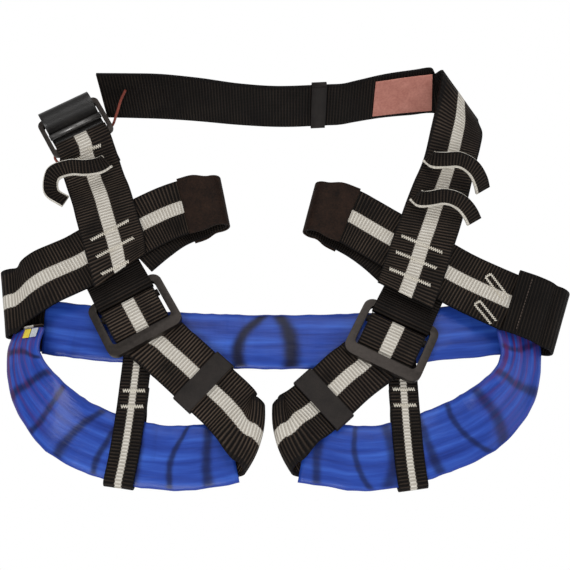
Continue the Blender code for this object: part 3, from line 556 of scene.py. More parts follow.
def show_ring(name, outer, inner, thick, corners, shift, matrix, materials, edge):
    """A flat frame with round edges."""
    curve = bpy.data.curves.new(name, "CURVE")
    curve.dimensions = "2D"
    curve.fill_mode = "BOTH"
    for points in (outline(*outer, corners[0]), outline(*inner, corners[1], shift)):
        spline = curve.splines.new("POLY")
        spline.points.add(len(points) - 1)
        for point, (x, y) in zip(spline.points, points):
            point.co = (x * MM, y * MM, 0, 1)
        spline.use_cyclic_u = True
    curve.extrude = thick / 2 * MM
    holder = bpy.data.objects.new(name + "_outline", curve)
    bpy.context.scene.collection.objects.link(holder)
    bpy.context.view_layer.update()
    mesh = bpy.data.meshes.new_from_object(holder.evaluated_get(bpy.context.evaluated_depsgraph_get()))
    bpy.data.objects.remove(holder)
    bm = bmesh.new()
    bm.from_mesh(mesh)
    bmesh.ops.remove_doubles(bm, verts=bm.verts, dist=1e-7)
    bmesh.ops.dissolve_limit(bm, angle_limit=0.01, verts=bm.verts, edges=bm.edges)
    bmesh.ops.recalc_face_normals(bm, faces=bm.faces)
    bm.transform(matrix)
    for face in bm.faces:
        face.smooth = True
    bm.to_mesh(mesh)
    bm.free()
    mesh.materials.clear()
    made = show(name, mesh, materials, name)
    bevel = made.modifiers.new("round edges", "BEVEL")
    bevel.width = edge * MM
    bevel.segments = 4
    bevel.limit_method = "ANGLE"
    bevel.angle_limit = math.radians(50)
    return made


def show_rod(name, radius, length, matrix, materials):
    bm = bmesh.new()
    bmesh.ops.create_cone(
        bm, cap_ends=True, segments=40, radius1=radius * MM, radius2=radius * MM, depth=length * MM,
        matrix=matrix @ Matrix.Rotation(math.radians(90), 4, "Y"),
    )
    for face in bm.faces:
        face.smooth = len(face.verts) == 4
    mesh = bpy.data.meshes.new(name)
    bm.to_mesh(mesh)
    bm.free()
    return show(name, mesh, materials, name)


def show_tube(name, points, radius, materials):
    curve = bpy.data.curves.new(name, "CURVE")
    curve.dimensions = "3D"
    curve.bevel_depth = radius * MM
    curve.bevel_resolution = 4
    curve.use_fill_caps = True
    curve.resolution_u = 10
    spline = curve.splines.new("BEZIER")
    spline.bezier_points.add(len(points) - 1)
    for point, co in zip(spline.bezier_points, points):
        point.co = place(Vector(co))
        point.handle_left_type = "AUTO"
        point.handle_right_type = "AUTO"
    holder = bpy.data.objects.new(name + "_path", curve)
    bpy.context.scene.collection.objects.link(holder)
    bpy.context.view_layer.update()
    mesh = bpy.data.meshes.new_from_object(holder.evaluated_get(bpy.context.evaluated_depsgraph_get()))
    bpy.data.objects.remove(holder)
    for face in mesh.polygons:
        face.use_smooth = True
    mesh.materials.clear()
    return show(name, mesh, materials, name)


# The folds' relief is FOLD_RELIEF times their depth, while their painted shade in sleeve_material takes the
# full depth.
FOLD_RELIEF = 0.35

FOLDS = {
    "seat_band_sleeve": [(139.5, 8, -1.1, 5), (174.5, -4, -1.2, 6), (60, 4, -0.25, 4), (262, -6, -0.3, 4)],
    "left_leg_sleeve": [(16 + 23 * k, 6 - 4 * (k % 3), -0.55, 2.2 + k % 2) for k in range(9)],
    "right_leg_sleeve": [(14 + 25 * k, -5 + 4 * (k % 3), -0.5, 2.2 + k % 3) for k in range(8)],
}


LOOKS = {}


def looks(settings):
    """All the materials, by the word that the pieces use for their finish or by the piece's own name."""
    if LOOKS:
        return LOOKS
    stripe = BELT_WEBBING * MM * settings.stripe_share / 2
    half = BELT_WEBBING * MM / 2
    leg = LEG_WEBBING * MM
    # Each webbing's last number sets the strength of its painted rib highlight, stronger on the leg straps
    # than on the belt's plain face.
    belt = webbing_material("belt_striped", half, stripe, settings)
    plain = webbing_material("belt_plain", half, 0.0, settings, 0.35)
    tie = webbing_material("tie_in_striped", half, stripe, settings, 0.9)
    LOOKS.update(
        {
            "webbing": [plain],
            "waist_belt": [plain, belt],
            "waist_belt_end": [
                plain_material("rolled_end", (0.002, 0.002, 0.002), (0.014, 0.012, 0.011), 0.24, shine=0.55)
            ],
            "left_waist_strap": [belt, plain],
            "left_tie_in_strap": [plain, tie],
            "right_tie_in_strap": [plain, tie],
            "left_leg_strap": [webbing_material("left_leg_webbing", leg / 2, leg * 0.125, settings, 1.6)],
            "right_leg_strap": [webbing_material("right_leg_webbing", leg / 2, leg * 0.125, settings, 1.0)],
            "left_drop_strap": [webbing_material("drop_webbing", 0.010, 0.0027, settings, 0.5)],
            "left_gear_loop": [
                webbing_material("gear_loop_outside", GEAR_LOOP_HALF * MM, 0.0, settings, 0.7, -1),
                plain_material("gear_loop_inside", (0.52, 0.48, 0.40), (0.80, 0.77, 0.70), 0.7),
            ],
            "cover": [
                plain_material("cover", (0.002, 0.0014, 0.0012), (0.032, 0.016, 0.010), 0.55, 700, shine=0.12)
            ],
            "right_hip_wrap": [webbing_material("hip_wrap", 0.0235, 0.0, settings, 0.25)],
            "left_leg_sleeve": [
                sleeve_material("left_sleeve", True, FOLDS["left_leg_sleeve"], SLEEVE_WIDTH * MM / 2)
            ],
            "right_leg_sleeve": [
                sleeve_material("right_sleeve", True, FOLDS["right_leg_sleeve"], SLEEVE_WIDTH * MM / 2)
            ],
            "seat_band_sleeve": [
                sleeve_material("seat_sleeve", False, FOLDS["seat_band_sleeve"], SEAT_WIDTH * MM / 2)
            ],
            "dark_metal": [metal_material("dark_metal", (0.014, 0.012, 0.011), (0.085, 0.072, 0.064), 0.30)],
            "grey_metal": [metal_material("grey_metal", (0.05, 0.05, 0.05), (0.30, 0.29, 0.28), 0.25)],
            "loop": [plain_material("keeper", (0.006, 0.0045, 0.004), (0.026, 0.020, 0.017), 0.5)],
            "label": [plain_material("label", (0.42, 0.150, 0.115), (0.66, 0.300, 0.240), 0.6, 600)],
            "cord": [plain_material("cord", (0.10, 0.018, 0.014), (0.36, 0.090, 0.060), 0.5)],
            "yellow": [plain_material("yellow", (0.60, 0.42, 0.02), (0.90, 0.75, 0.10), 0.5)],
            "grey": [plain_material("grey", (0.30, 0.32, 0.35), (0.75, 0.77, 0.80), 0.5)],
            "thread": [plain_material("thread", (0.50, 0.45, 0.36), (0.85, 0.81, 0.72), 0.6)],
            "dark_thread": [plain_material("dark_thread", (0.03, 0.02, 0.02), (0.12, 0.09, 0.07), 0.6)],
        }
    )
    LOOKS["right_drop_strap"] = LOOKS["left_drop_strap"]
    LOOKS["right_upper_gear_loop"] = LOOKS["left_gear_loop"]
    LOOKS["right_lower_gear_loop"] = LOOKS["left_gear_loop"]
    return LOOKS


def settings_now():
    return bpy.context.scene.harness_settings


def look_of(name, finish):
    made = looks(settings_now())
    return made.get(name, made.get(finish))


def ribbon(name, stations, finish, thick=WEBBING_THICK):
    return show_ribbon(name, stations, look_of(name, finish), thick, settings_now())


def sleeve(name, stations, width):
    return show_sleeve(name, stations, width, look_of(name, "sleeve"), FOLDS[name], settings_now())


def ring(name, outer, inner, thick, corners, shift, finish, matrix, edge=0.5):
    return show_ring(
        name, outer, inner, thick, corners, shift, matrix, look_of(name, finish), max(edge, 0.5)
    )


def bar(name, radius, length, finish, matrix):
    return show_rod(name, radius, length, matrix, look_of(name, finish))


def waist_buckle():
    """Frame and bar of the waist adjuster."""
    matrix = frame_matrix(-159.5, 122.5, 15, 30)
    ring(
        "waist_buckle_frame", (50, 34), (43, 25), 4.0, (5, 2.5), (0, 0), "dark_metal", matrix, 0.6
    )
    lifted = matrix @ Matrix.Translation((0, MM, 0))
    bar("waist_buckle_bar", 2.2, 42.2, "grey_metal", lifted)


def belt_stations():
    """The back band from the left end to the fold at the right corner, then the right arm."""
    band = [
        (-139.5, 140.2, 76.7, 2),
        (-117.3, 139.6, 76.0, -1),
        (-95.2, 138.8, 75.5, -2),
        (-66.8, 136.6, 77.0, -6),
        (-35.3, 133.4, 80.0, -5),
        (-4.7, 131.7, 81.0, 0),
        (9, 131.9, 81.0, 3),
        (17.25, 132.325, 81.0, 3),
        (33.75, 133.175, 81.0, 3),
        (42, 133.6, 81.0, 3),
        (54.3, 136.0, 80.0, 7),
        (74.8, 139.8, 77.5, 6),
        (97.8, 142.3, 75.0, 6),
    ]
    stations = []
    for x, y, lean, heading in band:
        stations.append(on_edge_station(x, y, lean, BELT_WEBBING, heading, 1.9))
    fold_top = Vector((117.8, 156.0, 42.5))
    fold_bottom = Vector((150.6, 137.6, 4.6))
    stations.append(rail_station((119, 143.6, 2.4), (108.5, 155.4, 43.8)))
    crease = (fold_top - fold_bottom) / 2
    along = crease.normalized()
    incoming = Vector((1, 0.1, 0))
    incoming = (incoming - along * incoming.dot(along)).normalized()
    outgoing = Vector((-0.1, -1, 0.05))
    outgoing = (outgoing - along * outgoing.dot(along)).normalized()
    corner = (fold_top + fold_bottom) / 2
    stations.append((corner - incoming * 6, crease.copy(), Vector()))
    stations += bend_stations(corner, crease, incoming, outgoing, 2.4, 5)
    stations += [
        rail_station((152.2, 124, 5.0), (114.3, 136, 32)),
        rail_station((150.5, 110, 5.5), (108, 114, 26), 45),
        rail_station((146, 94, 6), (102, 93, 22), BELT_WEBBING),
        rail_station((137, 68, 9.5), (94.5, 73, 19), BELT_WEBBING),
        rail_station((130, 48, 14.5), (88, 56, 18.6), BELT_WEBBING),
        rail_station((124.5, 33, 18.3), (82.5, 41, 18.6), BELT_WEBBING),
        rail_station((119, 18, ARM_Z), (77, 28, ARM_Z), BELT_WEBBING),
        rail_station((114.3, 5, ARM_Z), (72.9, 16, ARM_Z), BELT_WEBBING),
        rail_station((102.4, -24.4, ARM_Z), (65.2, -4.5, ARM_Z)),
    ]
    return stations


def waist_belt():
    """The belt, its label, its slider and the turned end piece on the adjuster."""
    stations = belt_stations()
    ribbon("waist_belt", stations, "webbing")
    inner = [(74.8, 139.8, 77.5, 6), (97.8, 142.3, 75.0, 6)]
    flat = [on_edge_station(x, y, lean, BELT_WEBBING, heading, 1.9) for x, y, lean, heading in inner]
    flat.append(rail_station((119, 143.6, 2.4), (108.5, 155.4, 43.8)))
    first = flat[0][0].lerp(flat[1][0], -0.3)
    label = [(first, flat[0][1].copy(), Vector())] + flat[1:2]
    label.append((flat[1][0].lerp(flat[2][0], 0.9), flat[1][1].lerp(flat[2][1], 0.5), Vector()))
    ribbon("belt_label", beside(label, 2.0, 0.82), "label", 0.6)
    centre, half, _ = on_edge_station(25.5, 132.75, 81.0, BELT_WEBBING, 3.0, 1.9)
    upward = half.normalized()
    run = direction(3.0)
    facing = run.cross(upward).normalized()
    matrix = Matrix((upward, facing, upward.cross(facing))).transposed().to_4x4()
    matrix = Matrix.Translation(place(centre)) @ matrix
    ring("belt_keeper", (46.6, 5.4), (44.3, 3.0), 11, (1.2, 0.4), (0, 0), "loop", matrix)
    axis = Vector((-167.0, 135.5, 15.0))
    across = direction(30) * 20.6
    away = direction(120)
    roll = [
        (axis - away * 12 + Vector((0, 0, -6.6)), across.copy(), Vector()),
        (axis - away * 5 + Vector((0, 0, -6.9)), across.copy(), Vector()),
    ]
    roll += roll_stations(axis, across, 7.0, 180, 0, 9, away)
    roll += [
        (axis - away * 6 + Vector((0, 0, 5.6)), across.copy(), Vector()),
        (axis - away * 8.7 + Vector((0, 0, 2.5)), across.copy(), Vector()),
        (axis - away * 10.2 + Vector((0, 0, -0.8)), across.copy(), Vector()),
        (axis - away * 12.2 + Vector((0, 0, -3.6)), across.copy(), Vector()),
        (axis - away * 16 + Vector((0, 0, -4.4)), across.copy(), Vector()),
        (axis - away * 19 + Vector((0, 0, -4.4)), across.copy(), Vector()),
    ]
    ribbon("waist_belt_end", roll, "webbing")


def left_waist_strap():
    """The left arm, turned round the lower rail of the adjuster and sewn on the tie-in strap."""
    rail = Vector((-153.0, 111.3, 15.0))
    across = direction(29) * 20.6
    away = direction(118)
    stations = [
        (Vector((-143.6, 87.5, 11.0)), direction(25) * 21.3, Vector()),
        (Vector((-147.5, 97, 10.8)), across.copy(), Vector()),
        (rail - away * 5 + Vector((0, 0, -4.6)), across.copy(), Vector()),
    ]
    stations += roll_stations(rail, across, 4.7, 180, 0, 6, away)
    stations += [
        (rail - away * 6 + Vector((0, 0, 4.2)), across.copy(), Vector()),
        (Vector((-149, 99, 15.6)), direction(25) * 21.75, Vector()),
        (Vector((-145, 88, 14.2)), direction(22, 3) * 21.75, Vector()),
        (Vector((-141, 77, 13.8)), direction(19, 6) * 21.75, Vector()),
        (Vector((-134.6, 62, 17.6)), direction(19, 3) * 21.75, Vector()),
        (Vector((-131.2, 52, ARM_Z)), direction(19) * 21.75, Vector()),
        (Vector((-127.2, 40.1, ARM_Z)), direction(19) * 21.75, Vector()),
        (Vector((-121.9, 24.7, ARM_Z)), direction(22) * 21.75, Vector()),
        (Vector((-116.5, 5.0, ARM_Z)), direction(38) * 22.2, Vector()),
    ]
    ribbon("left_waist_strap", stations, "webbing")


def gear_loop(name, edge):
    """A stiff strip that stands off the arm."""
    stations = []
    for x, y, z, heading, bank in edge:
        half = direction(heading + 90, bank) * GEAR_LOOP_HALF
        stations.append((Vector((x, y, z)) + half, half, Vector()))
    ribbon(name, stations, "webbing", 2.2)


def gear_loops():
    gear_loop(
        "left_gear_loop",
        [
            (-158, 62, 18.6, 165, 25),
            (-165, 66, 21, 120, 30),
            (-164.5, 72, 25, 55, 38),
            (-155, 75, 27, 8, 40),
            (-144, 74.5, 27.5, 2, 40),
            (-133, 77.5, 26, 25, 36),
            (-126.5, 84, 23.5, 55, 28),
        ],
    )
    gear_loop(
        "right_upper_gear_loop",
        [
            (101, 88, 24.6, 300, 20),
            (107, 81.5, 26.5, 345, 35),
            (116, 80, 28.5, 3, 40),
            (126, 80, 29, 352, 40),
            (134, 75.5, 26, 325, 30),
            (138.5, 69.5, 20.5, 305, 15),
            (141, 66, 14.5, 300, 5),
        ],
    )
    gear_loop(
        "right_lower_gear_loop",
        [
            (90, 57.5, 22.4, 300, 20),
            (95.5, 51, 24.4, 340, 35),
            (104, 50, 26.5, 3, 40),
            (114, 51, 28, 2, 40),
            (123, 48, 26, 328, 32),
            (128.5, 42.5, 22.5, 308, 15),
            (131.5, 38.5, 18.8, 300, 5),
        ],
    )


def tie_in(lower, loop, upper):
    """The stations of a tie-in strap: its lower layer, the loop end and its upper layer."""
    stations = [flat_station(x, y, z, heading, BELT_WEBBING) for x, y, z, heading in lower]
    x, y, z, radius, heading = loop
    turn = roll_stations(
        Vector((x, y, z)), direction(heading + 90) * 19.2, radius, 180, 0, 8, direction(heading)
    )
    back = [flat_station(x, y, z, heading, BELT_WEBBING) for x, y, z, heading in upper]
    return stations, turn, back


def left_tie_in():
    lower, turn, upper = tie_in(
        [
            (-110, 21, TIE_LOWER_Z, 43),
            (-99.5, 31, TIE_LOWER_Z, 43),
            (-86, 42.5, 12.6, 38),
            (-75, 49.6, 10.6, 26),
            (-63, 55.0, 9.2, 17),
        ],
        (-51.5, 58.5, 14.0, 5.2, 12),
        [
            (-63, 56.5, 19.2, 13),
            (-74, 53.6, 18.7, 15),
            (-85, 50.0, 17.2, 22),
            (-96, 45.0, TIE_UPPER_Z, 28),
            (-107, 38.5, TIE_UPPER_Z, 32),
            (-120, 29.6, TIE_UPPER_Z, 34),
            (-139.9, 16.6, TIE_UPPER_Z, 33),
            (-147, 12.0, TIE_UPPER_Z, 32),
            (-157, 5.8, 18.2, 31),
            (-169, -1.6, 20.4, 28),
            (-180, -9.0, 18.2, 20),
            (-186, -13.5, 14.8, 13),
        ],
    )
    hip = Vector((-193.0, -17.0, 7.2))
    half = direction(101) * 24.5
    fold = roll_stations(hip, half, 6.2, 0, 180, 8, direction(191))
    back = [(hip + Vector((9, 1.5, -6.2)), half * 0.95, Vector())]
    back.append((hip + Vector((22, 4.0, -6.2)), half * 0.9, Vector()))
    ribbon("left_tie_in_strap", lower + turn + upper + fold + back, "webbing")
    over = [lower[3], lower[4]] + turn + upper[:2]
    ribbon("left_tie_in_cover", beside(over, -1.95, 1.04), "cover", 1.2)


def right_tie_in():
    lower, turn, upper = tie_in(
        [
            (82.5, 12.5, TIE_LOWER_Z, 135),
            (72, 23.0, TIE_LOWER_Z, 136),
            (58.5, 34.5, 12.6, 143),
            (47, 42.6, 10.6, 151),
            (35.5, 49.4, 9.2, 161),
        ],
        (25.0, 53.5, 14.0, 5.2, 166),
        [
            (36, 50.6, 19.2, 165),
            (47, 46.4, 18.7, 158),
            (58, 40.2, 17.2, 151),
            (69, 33.6, TIE_UPPER_Z, 148),
            (80, 26.6, TIE_UPPER_Z, 147),
            (101, 13.0, TIE_UPPER_Z, 147),
            (124.3, -2.1, 16.4, 148),
            (140, -11.4, 18.4, 150),
            (151, -17.5, 19.8, 152),
            (158, -21.0, 20.0, 154),
        ],
    )
    ribbon("right_tie_in_strap", lower + turn + upper, "webbing")
    over = [lower[3], lower[4]] + turn + upper[:2]
    ribbon("right_tie_in_cover", beside(over, -1.95, 1.04), "cover", 1.2)


def right_hip_wrap():
    """A black band that holds the tie-in strap and the leg loop together at the right hip."""
    out = direction(-21)
    half = direction(69) * 23.5
    start = Vector((156.5, -19.0, 22.6))
    stations = [
        (start, half.copy(), Vector()),
        (start + out * 14 + Vector((0, 0, 0.2)), half.copy(), Vector()),
        (start + out * 24 + Vector((0, 0, -2.0)), half.copy(), Vector()),
    ]
    axis = start + out * 30.5
    axis.z = 9.4
    stations += roll_stations(axis, half, 8.4, 0, 180, 9, out)
    stations += [
        (Vector((axis.x, axis.y, 1.0)) - out * 8, half.copy(), Vector()),
        (Vector((axis.x, axis.y, 1.0)) - out * 22, half.copy(), Vector()),
    ]
    ribbon("right_hip_wrap", stations, "webbing")


LEFT_SLEEVE = [
    (-178.0, -38, 12.4, -92, 30, 0.68),
    (-180.6, -50, 12.6, -87, 31, 0.71),
    (-175.5, -71, 13.0, -62, 28, 0.83),
    (-163, -89, 11.4, -48, 20, 0.95),
    (-148, -103, 8.2, -36, 10, 1.0),
    (-132, -111.5, 5.7, -24, 3, 1.0),
    (-116, -117.5, SLEEVE_Z, -18, 0, 1.0),
    (-94.3, -122.6, SLEEVE_Z, -9, 0, 1.0),
    (-70.5, -124.6, SLEEVE_Z, 0, 0, 1.0),
    (-50, -122.8, SLEEVE_Z, 8, 0, 1.0),
    (-34.5, -119.8, SLEEVE_Z, 12, 0, 1.0),
]
RIGHT_SLEEVE = [
    (162.5, -38, 11.0, -88, 18, 0.80),
    (162.5, -58, 11.8, -98, 24, 0.80),
    (156.5, -76, 12.2, -118, 24, 0.88),
    (145, -90, 10.6, -136, 17, 0.96),
    (130, -101.5, 7.9, -148, 8, 1.0),
    (116, -108.5, 5.6, -155, 3, 1.0),
    (103, -113.5, SLEEVE_Z, -160, 0, 1.0),
    (84, -120.0, SLEEVE_Z, -164, 0, 1.0),
    (63, -124.2, SLEEVE_Z, -174, 0, 1.0),
    (42.5, -124.3, SLEEVE_Z, -184, 0, 1.0),
    (27, -121.6, SLEEVE_Z, -188, 0, 1.0),
    (12.4, -119.8, SLEEVE_Z, -191, 0, 1.0),
]


def leg_sleeve(name, rows, mirrored):
    """The blue sleeve of a leg loop. A mirrored one banks the other way."""
    sign = -1 if mirrored else 1
    stations = [
        flat_station(x, y, z, heading, SLEEVE_WIDTH * scale, sign * bank)
        for x, y, z, heading, bank, scale in rows
    ]
    sleeve(name, stations, SLEEVE_WIDTH)


def leg_strap(name, rows, mirrored, crease, to_keeper, buckle_at, buckle_heading, tail_end):
    """Leg webbing: hip, sleeve, crotch turn, keeper, round the buckle bar and back to the keeper."""
    sign = -1 if mirrored else 1
    inside = 35.6 if mirrored else 36.4
    stations = []
    first = rows[0]
    run = direction(first[3])
    start = Vector(first[:3]) - run * 3
    stations.append(flat_station(start.x, start.y, start.z, first[3], inside * first[5], sign * first[4]))
    for x, y, z, heading, bank, scale in rows:
        stations.append(flat_station(x, y, z, heading, inside * scale, sign * bank))
    axis, crease_heading, outward = crease
    half = direction(crease_heading) * 22.3
    if mirrored:
        half = -half
    stations += roll_stations(
        Vector(axis),
        half,
        CROTCH_FOLD_RADIUS,
        180,
        0,
        8,
        direction(outward),
        direction(crease_heading) * 4.4,
        direction(outward) * -CROTCH_FOLD_BOW,
    )
    for x, y, z, heading in to_keeper:
        stations.append(flat_station(x, y, z, heading, LEG_WEBBING))
    up = direction(buckle_heading + 90)
    bar_z = BUCKLE_Z - BAR_OFFSET * math.tan(BUCKLE_TILT)
    bars = Vector((buckle_at[0], buckle_at[1], bar_z)) + Vector((up.x, up.y, 0)) * BAR_OFFSET
    across = direction(buckle_heading) * (LEG_WEBBING / 2)
    for s, z in ((-14, LEG_STANDING_Z), (-6, LEG_STANDING_Z - 0.1), (3, bar_z - WRAP_RADIUS)):
        stations.append((bars + up * (s - BAR_OFFSET) + Vector((0, 0, z - bar_z)), across.copy(), Vector()))
    stations += roll_stations(bars, across, WRAP_RADIUS, 180, 0, 6, up)
    for s, z in ((3, 18.9), (-2.5, 19.0), (-7, 18.0), (-11, 15.6), (-14.5, 13.4), (-19, LEG_TAIL_Z)):
        stations.append((bars + up * (s - BAR_OFFSET) + Vector((0, 0, z - bar_z)), across.copy(), Vector()))
    for x, y, heading in tail_end:
        stations.append(flat_station(x, y, LEG_TAIL_Z, heading, LEG_WEBBING))
    ribbon(name, stations, "webbing")


def leg_buckle(side, x, y, heading):
    """The adjuster of a leg loop: a frame and a round bar in its side rails."""
    matrix = frame_matrix(x, y, BUCKLE_Z, heading, BUCKLE_TILT)
    window = (BUCKLE_LENGTH - 2 * BUCKLE_SIDE_RAIL, BUCKLE_DEPTH - BUCKLE_LOWER_RAIL - BUCKLE_UPPER_RAIL)
    shift = (0, (BUCKLE_LOWER_RAIL - BUCKLE_UPPER_RAIL) / 2)
    ring(
        side + "_leg_buckle_frame",
        (BUCKLE_LENGTH, BUCKLE_DEPTH),
        window,
        BUCKLE_THICK,
        (7, 3),
        shift,
        "dark_metal",
        matrix,
        0.7,
    )
    lifted = matrix @ Matrix.Translation((0, BAR_OFFSET * MM, 0))
    bar(side + "_leg_buckle_bar", BAR_RADIUS, window[0] - 0.8, "dark_metal", lifted)


def buckle_loop(side, x, y, heading):
    """Short webbing that holds a leg buckle by its upper rail, with both ends under the tie-in strap."""
    up = direction(heading + 90)
    centre = Vector((x, y, 0))
    across = direction(heading) * (BELT_WEBBING / 2 - 0.6)
    layers = []
    for s, z in ((50, LOOP_LOWER_Z), (40, LOOP_LOWER_Z), (30, LOOP_LOWER_Z), (25, 8.6)):
        layers.append((centre + up * s + Vector((0, 0, z)), across.copy(), Vector()))
    axis = centre + up * 18.8 + Vector((0, 0, 12.6))
    layers += roll_stations(axis, across, 3.9, 180, 0, 6, -up)
    for s, z in ((23.5, 15.6), (27.5, 13.6), (32, 11.5), (37, LOOP_UPPER_Z), (50, LOOP_UPPER_Z)):
        layers.append((centre + up * s + Vector((0, 0, z)), across.copy(), Vector()))
    ribbon(side + "_buckle_loop", layers, "webbing")


def leg_keeper(side, x, y, heading):
    """A closed band that holds the tail on the leg strap and slides along it."""
    middle = (LEG_STANDING_Z + LEG_TAIL_Z) / 2
    inner = (LEG_WEBBING + 0.8, LEG_TAIL_Z - LEG_STANDING_Z + WEBBING_THICK + 0.8)
    outer = (inner[0] + 2.4, inner[1] + 2.4)
    matrix = (
        Matrix.Translation(place(Vector((x, y, middle))))
        @ Matrix.Rotation(math.radians(heading - 90), 4, "Z")
        @ Matrix.Rotation(math.radians(90), 4, "X")
    )
    ring(side + "_leg_keeper", outer, inner, 15, (1.8, 0.5), (0, 0), "loop", matrix)


def drop_strap(side, top, fold, back):
    """A narrow strap from the seat band down over the leg sleeve, round its edge and back up."""
    x, y, z, heading = fold
    stations = [flat_station(*row, DROP_WEBBING) for row in top]
    half = direction(heading) * DROP_WEBBING / 2
    stations += roll_stations(Vector((x, y, z)), half, 3.75, 0, 180, 7, direction(heading - 90))
    stations += [(Vector((x, y, z)), half.copy(), Vector()) for x, y, z in back]
    ribbon(side + "_drop_strap", stations, "webbing", DROP_THICK)


def seat_band():
    """The blue sleeve across the seat and the webbing inside it."""
    rows = [
        (-170, -33.3, 0),
        (-148, -36.0, -7),
        (-120, -39.0, -5),
        (-60, -43.0, -2),
        (0, -44.2, 0),
        (60, -42.5, 3),
        (110, -38.0, 6),
        (134, -35.5, 6),
        (152, -33.8, 5),
    ]
    stations = [flat_station(x, y, SLEEVE_Z, heading, SEAT_WIDTH) for x, y, heading in rows]
    sleeve("seat_band_sleeve", stations, SEAT_WIDTH)
    rows = [(-174, -33.2, 0)] + rows + [(158, -33.2, 5)]
    stations = [flat_station(x, y, SLEEVE_Z, heading, SEAT_WEBBING) for x, y, heading in rows]
    ribbon("seat_band_webbing", stations, "webbing")


def hip_tags():
    """Two small tags on the left hip, half under the tie-in strap."""
    rows = LEFT_SLEEVE[:2]
    base = [
        flat_station(x, y, z, heading, SLEEVE_WIDTH * scale, bank)
        for x, y, z, heading, bank, scale in rows
    ]
    tall = [(base[0][0].lerp(base[1][0], share), base[0][1].copy(), Vector()) for share in (0.1, 0.62)]
    raised = beside(tall, 3.9)
    for name, across, finish in (("yellow_tag", 0.25, "yellow"), ("grey_tag", 0.7, "grey")):
        stations = [(centre + half * across, half * 0.19, bow) for centre, half, bow in raised]
        ribbon(name, stations, finish, 0.8)


def cord():
    """A round cord that hangs on the adjuster with a small loop."""
    points = [
        (-119.8, 143.4, 33),
        (-124.5, 140.0, 25),
        (-129.0, 134.0, 16),
        (-135.0, 127.0, 7.0),
        (-147.0, 119.0, 4.4),
        (-160.0, 114.0, 4.2),
        (-171.0, 111.5, 5.0),
        (-176.0, 103.5, 6),
        (-171.5, 96.5, 6.2),
        (-164.0, 98.5, 6.0),
        (-160.0, 104.0, 5.0),
    ]
    show_tube("buckle_cord", points, 1.0, look_of("buckle_cord", "cord"))


def leg_loops():
    leg_sleeve("left_leg_sleeve", LEFT_SLEEVE, False)
    leg_sleeve("right_leg_sleeve", RIGHT_SLEEVE, True)
    fold_z = (SLEEVE_Z + 16.0) / 2
    leg_strap(
        "left_leg_strap",
        LEFT_SLEEVE,
        False,
        ((-23.4, -112.2, fold_z), 74, -16),
        [
            (-33, -96.8, 13.4, -42),
            (-40.6, -88.3, LEG_STANDING_Z, -42),
            (-42.2, -86.85, LEG_STANDING_Z, -42),
            (-55.3, -75.0, LEG_STANDING_Z, -42),
            (-78.5, -54.2, LEG_STANDING_Z, -42),
            (-89.5, -45.6, LEG_STANDING_Z, -49),
        ],
        (-104.5, -28),
        30,
        [(-90.5, -45.0, -50), (-78.5, -54.2, -42), (-57.5, -73.0, -42)],
    )
    leg_strap(
        "right_leg_strap",
        RIGHT_SLEEVE,
        True,
        ((1.4, -112.2, fold_z), 106, 196),
        [
            (9.5, -99.5, 13.6, 222),
            (14.5, -96.2, 11.8, 222),
            (26.0, -86.7, LEG_STANDING_Z, 222),
            (49.5, -66.0, LEG_STANDING_Z, 222),
            (60.5, -59.5, LEG_STANDING_Z, 233),
        ],
        (73.5, -46),
        -26.5,
        [(60.8, -59.3, 233), (49.5, -66.0, 222), (28.2, -84.8, 222)],
    )
    leg_buckle("left", -104.5, -28, 30)
    leg_buckle("right", 73.5, -46, -26.5)
    buckle_loop("left", -104.5, -28, 30)
    buckle_loop("right", 73.5, -46, -26.5)
    leg_keeper("left", -55.3, -75.0, 138)
    leg_keeper("right", 26.0, -86.7, 42)
    drop_strap(
        "left",
        [
            (-101.8, -44, DROP_UPPER_Z, -90),
            (-102.4, -60, DROP_UPPER_Z, -91),
            (-103.3, -76, DROP_UPPER_Z, -91),
            (-104.5, -97, DROP_UPPER_Z + 0.4, -94),
            (-108.5, -134, DROP_UPPER_Z, -97),
        ],
        (-109.4, -139.9, 4.55, -8),
        [
            (-108.2, -131, 0.8),
            (-106, -112, 0.8),
            (-105.1, -102.5, 0.8),
            (-104.6, -98.0, 1.1),
            (-104.2, -94.0, 2.6),
            (-104, -90, 5.0),
            (-103.6, -86, 6.0),
            (-103, -76, 6.0),
        ],
    )
    drop_strap(
        "right",
        [
            (80.6, -51, DROP_UPPER_Z, -90),
            (81, -77, DROP_UPPER_Z, -89),
            (81.7, -105, DROP_UPPER_Z, -87),
            (83.3, -134, DROP_UPPER_Z, -84),
        ],
        (84.1, -141.2, 4.55, 8),
        [
            (83.0, -131, 0.8),
            (82, -112, 0.8),
            (81.9, -102.5, 0.8),
            (81.8, -98.0, 1.1),
            (81.6, -94.0, 2.6),
            (81.5, -90, 5.0),
            (81.2, -86, 6.0),
            (81, -77, 6.0),
        ],
    )


def surface_at(x, y, graph):
    """The point of the object right under a place of the lay-out, just above the surface."""
    start = place(Vector((x, y, 90)))
    hit, point, *_ = bpy.context.scene.ray_cast(graph, start, Vector((0, 0, -1)))
    if not hit:
        raise RuntimeError(f"no strap under the stitching at {x:.0f}, {y:.0f}")
    return point + Vector((0, 0, 0.00018))


